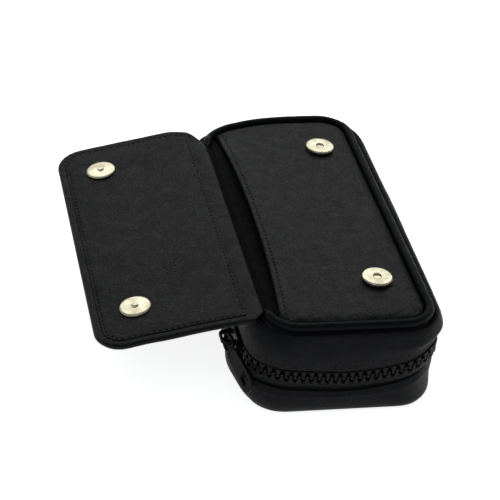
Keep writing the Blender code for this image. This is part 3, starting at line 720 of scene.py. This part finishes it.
def build_panels():
    """The bottom panel, the lid's top under the pocket, the board under that, and the pocket itself."""
    def bottom_height(x, y):
        edge = min(BOTTOM[0] - abs(x), rounded_limit(x, *BOTTOM) - abs(y))
        return 0.55 * (1 - ease(edge, 0.0, 1.6)) + 0.02

    def top_height(x, y):
        shelf = 0.7 * (1 - ease(x, -36.6, -33.4)) + 0.8 * ease(x, -24, -12)
        return 44.35 + shelf + 0.12 * waves(x, y, 0, 14, 8.0)

    for name, outline, step, count, high, low, finish, levels, body, slot, nodes in (
            ("base_panel_leather", BOTTOM, 3.0, 44, lambda x, y: 1.3, bottom_height,
             LEATHER_SHADED_COPY, 1, "base", "case_leather", ["base_panel"]),
            # The lid's top shows only in the pocket's mouth, so it takes the near-black leather as painted
            # shade.
            ("lid_top_leather", LID_PANEL, 2.4, 60, top_height, lambda x, y: top_height(x, y) - 0.5,
             LEATHER_SHADE, 1, "lid", "case_leather", ["lid_panel", "flap_anchor_strip"]),
            ("lid_board_pressed", LID_BOARD, 4.0, 20, lambda x, y: 43.6, lambda x, y: 42.6,
             BOARD, 0, "lid", "stiffener_board", ["lid_stiffener"])):
        xs, shares = corner_stops(outline[0], outline[2], step), shares_across(count)
        top, bottom = (rounded_grid(outline, xs, shares, height) for height in (high, low))
        place_on(slab(name, top, bottom, finish, levels=levels), body, slot, *nodes)
    build_pocket()


POCKET = (34.9, 84.9, 11.9)
POCKET_RIGHT, POCKET_HALF, POCKET_CORNER = POCKET
POCKET_REACH = 66.0
MOUTH_STITCH = 3.0
MOUTH_FOLD = 1.1
MOUTH_STITCH_ENDS = 0.985


def mouth_x(share):
    """The pocket mouth's edge, which curves in at both ends."""
    return -32.5 + 4.0 * (1 - share * share)


def mouth_roll(from_mouth):
    """How far the rounded fold at the mouth has fallen below the panel's top."""
    return MOUTH_FOLD - math.sqrt(max(MOUTH_FOLD ** 2 - max(0.0, MOUTH_FOLD - from_mouth) ** 2, 0.0))


def pocket_point(across, share):
    """The pocket panel's top: across is the share of the way from its mouth, share goes front to back."""
    start = mouth_x(share)
    x = start + across * (POCKET_RIGHT - start)
    limit = rounded_limit(x, *POCKET)
    y = share * limit
    inside = max(0.0, abs(x) - (POCKET_RIGHT - POCKET_CORNER))
    slope = math.sqrt(max(1 - (inside / POCKET_CORNER) ** 2, 0.04))
    edge = max(0.0, min(POCKET_RIGHT - x, (limit - abs(y)) * slope))
    from_mouth = x - start
    z = 45.5 + 2.2 * (1 - math.exp(-edge / 2.6))
    gape = 0.9 * (1 - share * share) ** 2 * math.exp(-from_mouth / 9.0)
    groove = 0.28 * dip(from_mouth - MOUTH_STITCH, 0.6)
    front = 1.0 if y < 0 else 0.5
    if POCKET_RIGHT - x < limit - abs(y):
        front = 0.45
    pucker = 0.42 * front * math.exp(-((edge - 2.0) / 2.8) ** 2) * seam_puckers(x, y, 2.6, 6.0)
    calm = 1 - max(dip(math.hypot(x - SNAP_X, abs(y) - SNAP_Y), 11.0), 0.0)
    soft = (0.30 * waves(x, y, 0, 24, 2.2) + 0.10 * waves(x, y, 0, 8, 9.1)) * calm * ease(edge, 0.0, 8.0)
    return x, y, z + gape - mouth_roll(from_mouth) - groove + pucker + soft


def build_pocket():
    """The pocket panel, double at its folded mouth, and the stitches along the mouth."""
    shares = [s / POCKET_HALF for s in stops(-POCKET_HALF, POCKET_HALF, 0.8, 2.2, 12.0)]
    acrosses = [a / POCKET_REACH for a in stops(0.0, POCKET_REACH, 0.55, 0.95, 6.0)]
    top = [[pocket_point(a, share) for share in shares] for a in acrosses]
    bottom = []
    for row in top:
        under = []
        for (x, y, z), share in zip(row, shares):
            from_mouth = x - mouth_x(share)
            fold = 1 - ease(from_mouth, 9.0, 10.0)
            under.append((x, y, z + 2 * mouth_roll(from_mouth) - LEATHER - fold))
        bottom.append(under)
    place_on(slab("pocket_panel_leather", top, bottom, LEATHER_POCKET_LIT_COPY), "lid", "case_leather", "pocket_panel")
    line = []
    for share in shares:
        if abs(share) <= MOUTH_STITCH_ENDS:
            x, y, z = pocket_point(MOUTH_STITCH / (POCKET_RIGHT - mouth_x(share)), share)
            line.append(((x, y, z + 0.12), (0, 0, 1)))
    stitches("pocket_mouth_stitches", line, "lid")


def build_piping():
    """The cord round the lid's top seam, in its leather sleeve, running out at both of its ends."""
    around = plan(0, 0)
    first = SPINE_LAST + NEAR_STEPS
    last = STATIONS + 2 * CORNER_STEPS + SHORT_STEPS + 2
    dense = []
    stations = [around[i % STATIONS] for i in range(first, last + 1)]
    for a, b in zip(stations, stations[1:]):
        for k in range(2):
            dense.append(tuple(p + (q - p) * k / 2 for p, q in zip(a, b)))
    dense.append(stations[-1])
    rings = []
    total = len(dense)
    for i, (x, y, nx, ny) in enumerate(dense):
        length = math.hypot(nx, ny)
        nx, ny = nx / length, ny / length
        corner = 4 * (nx * ny) ** 2
        taper = 0.3 + 0.7 * ease(min(i, total - 1 - i), 0, 6)
        ring = []
        for out, up in circle(14):
            crease = 0.16 * corner * noise.noise(Vector((x * 0.9, y * 0.9, up)))
            radius = taper * (PIPING_RADIUS + 0.07 * waves(x, y, up, 5, 1.3) + crease)
            ring.append((x + nx * out * radius, y + ny * out * radius,
                         PIPING_Z + up * radius + 0.15 * waves(x, y, 0, 22, 7.7)))
        rings.append(ring)
    bm = bmesh.new()
    add_rows(bm, rings, loop_columns=True, caps=True)
    place_on(finish_mesh("piping_cord_leather", bm, LEATHER_SHADED_COPY), "lid", "case_leather", "lid_piping")


# ---------------------------------------------------------------- the flap

def flap_place(s, y, n):
    """A point of the flap's own frame, s out from the hinge and n up from it, in the case's frame."""
    return (HINGE[0] - s * math.cos(DROOP) - n * math.sin(DROOP), y,
            HINGE[1] - s * math.sin(DROOP) + n * math.cos(DROOP))


def flap_edges(s, inset=0.0):
    """(front y, back y) of the flap at a distance from its hinge."""
    corner = FLAP_CORNER - inset
    far = FLAP_LENGTH - inset
    half = FLAP_HALF - inset
    past = max(0.0, s - (far - corner))
    half -= corner - math.sqrt(max(corner * corner - past * past, 0.0))
    front = -half + 6.5 * (1 - ease(s, -2.0, 8.0))
    back = half - 3.5 * (1 - ease(s, 6.0, 18.0)) - 9.5 * (1 - ease(s, 0.0, 9.5))
    return front, back


def flap_edge_distance(s, y, inset=0.0):
    """How far inside the flap's three free edges a point lies."""
    corner = FLAP_CORNER - inset
    far = FLAP_LENGTH - inset
    front, back = flap_edges(s, inset)
    out = far - s
    side = min(y - front, back - y)
    half = FLAP_HALF - inset
    if out < corner and half - abs(y) < corner:
        from_centre = math.hypot(corner - out, corner - (half - abs(y)))
        return corner - from_centre
    return min(out, side)


def flap_soft(s, y):
    """Dents and waves of the soft flap, quiet by its studs and its hinge."""
    calm = 1 - dip(math.hypot(s - 54.8, abs(y) - SNAP_Y), 12.0)
    calm *= ease(s, 6.0, 20.0)
    dents = 0.8 * waves(s, y, 0, 34, 4.6) + 0.38 * waves(s, y, 0, 15, 2.9)
    return calm * (dents + 0.08 * waves(s, y, 0, 6, 3.3))


def flap_stops(end):
    """Distances from the hinge, close together near both the fold and the free edge."""
    near = [-4.4, -4.0, -3.2, -2.2, -1.2, -0.4, 0.4, 1.2, 2.2, 3.4, 4.8, 6.2, 7.6, 9.0, 10.4]
    middle = [12.0 + 1.5 * k for k in range(32)]
    edge = [end - d for d in (14.4, 13.0, 11.8, 10.6, 9.4, 8.3, 7.4, 6.6, 6.0, 5.5, 5.0, 4.4, 3.6, 2.8, 2.0,
                              1.4, 0.9, 0.5, 0.2, 0.05, 0.0)]
    return near + [s for s in middle if s < edge[0] - 0.5] + edge


def flap_shares(front, back):
    """Lengthways points between two edges, close together near each."""
    offsets = (0.0, 0.05, 0.2, 0.5, 0.9, 1.4, 2.0, 2.8, 3.6, 4.4, 5.0, 5.5, 6.0, 6.6, 7.4, 8.4)
    nominal, margin, step = 160.0, 10.0, 1.5
    between = nominal - 2 * margin
    start = [o / nominal for o in offsets]
    count = round(between / step)
    middle = [(margin + between * k / count) / nominal for k in range(count + 1)]
    return [front + (back - front) * share for share in start + middle + [1 - s for s in reversed(start)]]


def edge_round(distance, radius):
    """0 at the edge and 1 once a rounded edge has levelled out."""
    if distance >= radius:
        return 1.0
    part = 1 - max(0.0, distance) / radius
    return math.sqrt(max(0.0, 1 - part * part))


def skin_heights(s, y):
    """(top n, bottom n) of the flap's outer leather with its turned border."""
    distance = flap_edge_distance(s, y)
    middle = -1.5
    border = 1 - ease(distance, 3.4, 4.4)
    root = 1 - ease(s, 6.0, 10.0)
    pleats = 0.0
    in_corner = ease(s, 52, 66) * ease(abs(y), 60, 72)
    if in_corner:
        angle = math.atan2(abs(y) - 66.5, s - 61.0)
        pleats = 0.35 * in_corner * math.sin(angle * 26) * dip(distance - 3.0, 2.4)
    top = -0.15 * border - 0.95 * (1 - border) + pleats * border
    top = top * (1 - root) - 0.75 * root
    bottom = -2.95 * (1 - root) - 2.25 * root
    shape = edge_round(distance, 1.5)
    pucker = 0.12 * border * noise.noise(Vector((s / 1.8, y / 1.8, 0.0))) * ease(distance, 0.5, 2.5)
    return middle + (top - middle) * shape + pucker * (1 - root), middle + (bottom - middle) * shape


def skin_point(s, y, n):
    """Places the skin: along the flap, and on the lid's side of the hinge falling to the lid's top."""
    fall = 3.0 * ease(3.2 - s, 0.0, 5.4)
    if s >= 0:
        x, y, z = flap_place(s, y, n + flap_soft(s, y))
        return x, y, z - fall
    return HINGE[0] - s - n * math.sin(DROOP) * (1 + s / 4.4), y, HINGE[1] + n - fall


def build_flap_skin():
    """The flap's outer leather, blended across its hinge, with the darker leather of painted shade at its
    root.
    """
    top, bottom = [], []
    for s in flap_stops(FLAP_LENGTH):
        ys = flap_shares(*flap_edges(s))
        heights = [skin_heights(s, y) for y in ys]
        top.append([skin_point(s, y, h[0]) for y, h in zip(ys, heights)])
        bottom.append([skin_point(s, y, h[1]) for y, h in zip(ys, heights)])
    skin = slab("flap_leather_skin", top, bottom, LEATHER_LIT_COPY, place=settled_root, merge=2e-6)
    # Faces at the root take the near-black leather as painted shade beside the pocket's mouth.
    skin.data.materials.append(LEATHER_SHADE)
    for face in skin.data.polygons:
        if face.center.x > (HINGE[0] - SHADE_REACH) * MM:
            face.material_index = 1
    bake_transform(skin)
    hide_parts("flap_leather", "flap_hinge_strip")


def build_flap_lining():
    """The panel that is stitched to the flap's inner face."""
    far = FLAP_LENGTH - LINING_INSET
    near = [LINING_START + d for d in (0.0, 0.05, 0.2, 0.5, 0.9, 1.4, 2.0, 2.6, 3.2, 4.0, 5.0, 6.2)]
    middle = [LINING_START + 7.6 + 1.5 * k for k in range(27)]
    edge = [far - d for d in (11.0, 9.0, 7.6, 6.4, 5.2, 4.2, 3.2, 2.4, 1.8, 1.2, 0.8, 0.4, 0.15, 0.0)]
    top, bottom = [], []
    for s in sorted(s for s in {*near, *middle, *edge} if s <= far):
        upper, lower = [], []
        for y in flap_shares(*flap_edges(s, LINING_INSET)):
            distance = min(flap_edge_distance(s, y, LINING_INSET), s - LINING_START)
            shape = edge_round(distance, 0.75)
            groove = 0.22 * dip(distance - LINING_STITCH, 0.55)
            crown = 0.25 * ease(distance, 2.0, 14.0)
            level = LINING_LEVEL + flap_soft(s, y)
            upper.append(flap_place(s, y, level + 0.62 * shape - groove + crown))
            lower.append(flap_place(s, y, level - 0.5 * shape))
        top.append(upper)
        bottom.append(lower)
    place_on(slab("flap_lining_leather", top, bottom, LEATHER_LIT_COPY, place=tuple, merge=2e-6),
             "flap", "case_leather", "flap_lining")


def build_flap_stitches():
    """One line of stitches round all four sides of the flap's lining."""
    inset = LINING_INSET + LINING_STITCH
    corner = FLAP_CORNER - inset
    far = FLAP_LENGTH - inset
    half = FLAP_HALF - inset
    near = LINING_START + LINING_STITCH
    route = []
    for side in (-1, 1):
        part = []
        for k in range(31):
            s = near + (far - corner - near) * k / 30
            part.append((s, flap_edges(s, inset)[side > 0]))
        for k in range(1, 13):
            angle = math.radians(90 * k / 12)
            part.append((far - corner + corner * math.sin(angle),
                         side * (half - corner + corner * math.cos(angle))))
        route += part if side < 0 else list(reversed(part))
    front, back = route[0][1], route[-1][1]
    route += [(near, back + (front - back) * k / 40) for k in range(1, 41)]
    up = (-math.sin(DROOP), 0, math.cos(DROOP))
    line = [(flap_place(s, y, 0.02 + flap_soft(s, y)), up) for s, y in route]
    stitches("flap_lining_stitches", line, "flap", place=tuple)


# ---------------------------------------------------------------- the zip

TOOTH_PITCH = 3.7
TOOTH_LENGTH = 2.3


def zip_route():
    """The zip's line, from beside the spine at the front, round the case, to beside the spine at the back."""
    around = plan(5.4, 1.6)
    line = [around[i][:2] for i in AWAY_FROM_SPINE]
    left = line[0][0]
    return [(left, -SPINE_HALF - 0.6), *line[1:-1], (left, SPINE_HALF + 0.6)]


ROUTE = zip_route()
ROUTE_AT = [0.0]
for a, b in zip(ROUTE, ROUTE[1:]):
    ROUTE_AT.append(ROUTE_AT[-1] + math.hypot(b[0] - a[0], b[1] - a[1]))
ROUTE_LENGTH = ROUTE_AT[-1]
SHORT_RUN = HALF_LENGTH + 1.6 - CORNER_RADIUS - 3.5 - SPINE_HALF - 0.6
SPLIT = 0.3


def on_route(distance):
    """(a point on the zip's line, the way along it, the way out from it) at a distance along the zip."""
    for i in range(len(ROUTE) - 1):
        if distance <= ROUTE_AT[i + 1] or i == len(ROUTE) - 2:
            (ax, ay), (bx, by) = ROUTE[i], ROUTE[i + 1]
            part = (distance - ROUTE_AT[i]) / (ROUTE_AT[i + 1] - ROUTE_AT[i])
            ahead = Vector((bx - ax, by - ay, 0)).normalized()
            point = Vector((ax + (bx - ax) * part, ay + (by - ay) * part, ZIP_Z))
            return point, ahead, Vector((ahead.y, -ahead.x, 0))


def tooth_reach(distance):
    """How far a tooth reaches past the zip's middle: short of it by the slider, where the rows are apart."""
    return -1.1 if distance < SHORT_RUN else 1.0


def add_tooth(bm, distance, sign):
    """A moulded tooth: broad where it grips the tape, waisted, and headed where it locks."""
    centre, ahead, out = on_route(distance)
    tip = -tooth_reach(distance)
    rings = []
    for z, half in ((tip, 0.62), (tip + 0.22, 0.86), (tip + 0.85, 0.86), (tip + 1.25, 0.56),
                    (tip + 1.75, 0.56), (tip + 2.3, 1.0), (TOOTH_LENGTH, 1.18), (TOOTH_LENGTH + 0.8, 1.18)):
        depth = 1.3 if z > tip + 0.1 else 1.0
        middle = centre + Vector((0, 0, sign * z))
        rings.append([middle + ahead * a + out * d for a, d in (
            (-half, -depth), (half, -depth), (half, depth - 0.3), (half - 0.25, depth),
            (-half + 0.25, depth), (-half, depth - 0.3))])
    add_rows(bm, rings, loop_columns=True, caps=True)


def add_bead(bm, start, end, sign):
    """The cord that the teeth are moulded round."""
    rings = []
    count = max(2, round((end - start) / 2.0))
    for k in range(count + 1):
        centre, _, out = on_route(start + (end - start) * k / count)
        centre.z += sign * (TOOTH_LENGTH + 0.6)
        rings.append([centre + out * a + Vector((0, 0, b * 0.55)) for a, b in circle(8)])
    add_rows(bm, rings, loop_columns=True, caps=True)


def tooth_row(node, start, end, sign, body):
    """A row of teeth on its cord, the upper row half a pitch along from the lower."""
    bm = bmesh.new()
    add_bead(bm, start, end, sign)
    offset = 1.4 + (TOOTH_PITCH / 2 if sign > 0 else 0.0)
    distance = offset + math.ceil((start + 1.3 - offset) / TOOTH_PITCH) * TOOTH_PITCH
    while distance < end - 1.3:
        add_tooth(bm, distance, sign)
        distance += TOOTH_PITCH
    row = finish_mesh(f"{node}_moulded", bm, TEETH, levels=0)
    row.data.set_sharp_from_angle(angle=math.radians(35))
    place_on(row, body, "zip_plastic", node)


def tape(node, start, end, low, high, body):
    """A woven tape with thicker, rounded selvedges."""
    sides = ([], [])
    count = max(4, round((end - start) / 1.6))
    for k in range(count + 1):
        point, _, out = on_route(start + (end - start) * k / count)
        columns = ([], [])
        for step in range(7):
            z = low + (high - low) * step / 6
            thick = 0.4 + 0.08 * (step in (1, 5)) + 0.03 * waves(point.x, point.y, z, 4, 1.0)
            for column, sign in zip(columns, (1, -1)):
                column.append(Vector((point.x, point.y, z)) + out * sign * thick)
        for side, column in zip(sides, columns):
            side.append(column)
    place_on(slab(f"{node}_woven", *sides, TAPE), body, "zip_tape", node)


def build_zip():
    """Teeth and tapes. The lid's half stops short at both ends, where a closed end stays on the base."""
    start, end = SHORT_RUN + SPLIT, ROUTE_LENGTH - SHORT_RUN - SPLIT
    front, back = (0.0, SHORT_RUN - SPLIT), (ROUTE_LENGTH - SHORT_RUN + SPLIT, ROUTE_LENGTH)
    tooth_row("zip_teeth_lower", 0.0, ROUTE_LENGTH, -1, "base")
    tooth_row("zip_teeth_upper", start, end, 1, "lid")
    tooth_row("zip_end_teeth_front", *front, 1, "base")
    tooth_row("zip_end_teeth_back", *back, 1, "base")
    tape("zip_tape_lower", 0.0, ROUTE_LENGTH, 11.2, 17.9, "base")
    tape("zip_tape_upper", start, end, 23.1, 30.0, "lid")
    tape("zip_end_tape_front", *front, 23.1, 25.9, "base")
    tape("zip_end_tape_back", *back, 23.1, 25.9, "base")


# ---------------------------------------------------------------- snaps

TURNED_STEPS = 64
SOCKET = [(0, 0), (6.5, 0), (6.85, 0.15), (7.0, 0.5), (7.0, 1.35), (6.9, 1.65), (6.65, 1.86), (6.3, 1.93),
          (5.6, 1.97), (2.3, 2.0), (2.05, 1.97), (1.88, 1.84), (1.8, 1.6), (1.75, 1.3), (1.5, 1.15),
          (0.8, 1.12), (0, 1.12)]
STUD = [(0, 0), (6.6, 0), (6.9, 0.12), (7.0, 0.4), (6.95, 0.75), (6.75, 1.0), (6.4, 1.12), (5.6, 1.17),
        (1.9, 1.2), (1.65, 1.23), (1.5, 1.32), (1.42, 1.5), (1.36, 1.72), (1.2, 1.86), (0.9, 1.93),
        (0.5, 1.96), (0, 1.96)]


def turned_piece(name, profile, matrix, finish):
    """A lathe-turned piece from (radius, height) in millimetres."""
    rings = [[(max(radius, 0.02) * a, max(radius, 0.02) * b, height) for a, b in circle(TURNED_STEPS)]
             for radius, height in profile]
    bm = bmesh.new()
    add_rows(bm, rings, loop_columns=True, caps=True, place=tuple)
    bm.transform(matrix)
    made = finish_mesh(name, bm, finish, levels=0, merge=1e-7)
    made.data.set_sharp_from_angle(angle=math.radians(38))
    return made

def build_snaps():
    """Two sockets on the pocket and two studs on the flap."""
    hinge = Matrix.Translation((HINGE[0] * MM, 0, HINGE[1] * MM)) @ Matrix.Rotation(-DROOP, 4, "Y")
    for side, y in (("front", -SNAP_Y * MM), ("back", SNAP_Y * MM)):
        for node, profile, matrix, body in (
                (f"snap_socket_{side}", SOCKET, Matrix.Translation((SNAP_X * MM, y, 0.0478)), "lid"),
                (f"snap_stud_{side}", STUD, hinge @ Matrix.Translation((-0.0548, y, 0.00025)), "flap")):
            place_on(turned_piece(f"{node}_turned", profile, matrix, NICKEL), body, "snap_nickel", node)


# ---------------------------------------------------------------- inside

def cup_lining(name, node, path, floor_z, up, body):
    """A lining: a soft wall from its folded rim to a floor, closed across."""
    side = 1 if up else -1
    dense = curve_through(path, 1.4)

    def push(x, y, z):
        return 0.28 * waves(x, y, z, 12, 5.0) * ease(abs(z - dense[0][2]), 0.0, 3.0)

    rings = []
    inner = [Vector((gx - 0.9, gy - 0.9, z)) for gx, gy, z in dense]
    lip = [(dense[0] + inner[0]) / 2 - Vector((0, 0, 0.35 * side))]
    for grow_x, grow_y, z in [*reversed(dense), *lip, *inner[:-1]]:
        around = plan(grow_x, grow_y)
        rings.append([(x + nx * push(x, y, z), y + ny * push(x, y, z), z) for x, y, nx, ny in around])
    bm = bmesh.new()
    verts = add_rows(bm, rings, loop_columns=True)
    outer_floor = dense[-1]
    for ring, grow, z, share in ((verts[0], outer_floor, outer_floor[2], 0),
                                 (verts[-1], inner[-1], floor_z, 1)):
        last = ring
        for shrink in (0.96, 0.88, 0.76, 0.6, 0.42, 0.22):
            around = plan(grow[0], grow[1])
            new = []
            for x, y, _, _ in around:
                px, py = x * shrink, y * (1 - (1 - shrink) * 0.62)
                pz = z + 0.12 * share * waves(px, py, 0, 9, 2.0)
                new.append(bm.verts.new(Vector(settled((px, py, pz))) * MM))
            for i in range(STATIONS):
                j = (i + 1) % STATIONS
                bm.faces.new((last[i], last[j], new[j], new[i]))
            last = new
        bm.faces.new(last)
    place_on(finish_mesh(name, bm, LINING, levels=0), body, "lining_cloth", node)


def build_inside():
    """Both linings, the pen loops and the lid's slip pocket."""
    cup_lining("tray_lining_cloth", "base_lining", [(4.6, 1.0, 14.6), (4.5, 0.9, 11.0), (4.4, 0.8, 8.0),
                                                    (3.7, 0.5, 4.8), (2.6, 0.0, 3.4)], 4.3, False, "base")
    cup_lining("lid_lining_cloth", "lid_lining", [(4.6, 0.8, 26.6), (4.7, 0.8, 30.4), (5.6, 2.0, 34.0),
                                                  (4.4, 1.6, 38.4), (0.4, 0.0, 42.0)], 41.1, True, "lid")
    build_loops("front", -40.0)
    build_loops("back", 40.0)
    build_slip_pocket()


def build_loops(side, y):
    """Elastic sewn down between the pens, standing in a soft arch over each."""
    half = 11.0

    def arches(radius, foot):
        points = [(-37.0, foot), (-35.6, foot)]
        for pen in range(4):
            centre = (pen - 1.5) * 17.5
            for k in range(15):
                angle = math.pi * (1 - k / 14)
                points.append((centre + radius * math.cos(angle), foot + 1.25 * radius * math.sin(angle)))
        return [*points, (35.6, foot), (37.0, foot)]

    outer, inner = arches(8.1, 5.5), arches(7.2, 4.6)
    rows = ([], [])
    for k in range(19):
        across = -half + 2 * half * k / 18
        thin = 0.18 * ease(abs(across), half - 1.4, half)
        for row, points, sign in zip(rows, (outer, inner), (-1, 1)):
            row.append([(x, y + across, z + sign * thin) for x, z in points])
    place_on(slab(f"pen_loops_{side}_elastic", *rows, ELASTIC), "base", "pen_elastic", f"pen_loops_{side}")


def build_slip_pocket():
    """The flat pocket inside the lid, with a bound mouth."""
    xs = stops(-20.0, 34.0, 0.8, 2.2, 3.0)
    ys = stops(-60.0, 60.0, 0.8, 2.5, 3.0)
    top, bottom = [], []
    for x in xs:
        upper, lower = [], []
        for y in ys:
            edge = min(x + 20.0, 34.0 - x, 60.0 - abs(y))
            shape = edge_round(edge, 0.8)
            binding = 0.25 * (1 - ease(x + 20.0, 4.5, 5.2))
            ripple = 0.2 * waves(x, y, 0, 11, 3.0) * ease(edge, 0, 6)
            upper.append((x, y, 40.45 + 0.3 * shape))
            lower.append((x, y, 40.35 - (0.3 + binding) * shape - abs(ripple)))
        top.append(upper)
        bottom.append(lower)
    place_on(slab("lid_slip_pocket_cloth", top, bottom, LINING), "lid", "lining_cloth", "lid_slip_pocket")


def dress_cad():
    """Finishes for the CAD nodes that stay."""
    for finish, names in ((BOARD, ("base_stiffener", "flap_board")),
                          (METAL, ("slider_body", "pull_ring", "pull_tab",
                                   "zip_stop_front", "zip_stop_back")),
                          (NICKEL, ("socket_washer_front", "socket_washer_back"))):
        for name in names:
            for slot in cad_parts[name].material_slots:
                slot.material = finish


# ---------------------------------------------------------------- studio

CAMERA_PLACE = (-0.2168, -0.69164, 0.50846)
CAMERA_TURN = (15.34, 33.88, 6.88)
LENS_MM, SENSOR_MM = 131.8248, 36


def add_camera():
    """The photograph's viewpoint, from the solved camera: yaw, pitch and roll in degrees."""
    yaw, pitch, roll = (math.radians(a) for a in CAMERA_TURN)
    forward = Vector((math.sin(yaw) * math.cos(pitch), math.cos(yaw) * math.cos(pitch), -math.sin(pitch)))
    right = Vector((math.cos(yaw), -math.sin(yaw), 0))
    up = right.cross(forward)
    turned_right = math.cos(roll) * right + math.sin(roll) * up
    turned_up = -math.sin(roll) * right + math.cos(roll) * up
    data = bpy.data.cameras.new("camera")
    data.lens = LENS_MM
    data.sensor_width = SENSOR_MM
    data.clip_start = 0.01
    data.clip_end = 20
    camera = bpy.data.objects.new("camera", data)
    bpy.context.scene.collection.objects.link(camera)
    matrix = Matrix((turned_right, turned_up, -forward)).transposed().to_4x4()
    camera.matrix_world = Matrix.Translation(CAMERA_PLACE) @ matrix
    bpy.context.scene.camera = camera


LIT_POINT = (0.0, 0.0, 0.02)


def add_area(name, place, size, power, colour):
    """A rectangular softbox aimed at the case."""
    data = bpy.data.lights.new(name, "AREA")
    data.shape = "RECTANGLE"
    data.size, data.size_y = size
    data.energy = power
    data.color = colour
    light = bpy.data.objects.new(name, data)
    bpy.context.scene.collection.objects.link(light)
    aim = (Vector(LIT_POINT) - Vector(place)).to_track_quat("-Z", "Y")
    light.matrix_world = Matrix.Translation(place) @ aim.to_matrix().to_4x4()


def add_studio():
    """A pale floor, an even pale sky, and two softboxes."""
    scene = bpy.context.scene
    scene.view_settings.view_transform = "Standard"
    world = bpy.data.worlds.new("studio")
    world.use_nodes = True
    background = world.node_tree.nodes["Background"]
    background.inputs["Color"].default_value = (0.93, 0.97, 1.0, 1.0)
    background.inputs["Strength"].default_value = 0.3
    scene.world = world
    bm = bmesh.new()
    bmesh.ops.create_grid(bm, x_segments=8, y_segments=8, size=6.0)
    floor_finish = material("pale_floor", (0.9, 0.9, 0.9), 0.8, specular=0.1)
    n = Nodes(floor_finish)
    n.set(Base_Color=n.mix(n.noise(0.15, 2.0), (0.90, 0.90, 0.90), (0.93, 0.93, 0.93)))
    n.shader.inputs["Emission Color"].default_value = (1.0, 1.0, 1.0, 1.0)
    n.shader.inputs["Emission Strength"].default_value = 0.85
    finish_mesh("floor", bm, floor_finish, levels=0)
    add_area("key_light", (0.1, 0.80, 0.66), (1.3, 0.6), 4.4, (0.97, 1.0, 0.95))
    add_area("fill_light", (-0.55, -0.75, 1.0), (0.7, 0.7), 1.1, (0.84, 0.92, 1.0))


add_camera()
add_studio()
build_shells()
build_panels()
build_piping()
build_flap_skin()
build_flap_lining()
build_flap_stitches()
build_zip()
build_snaps()
build_inside()
dress_cad()
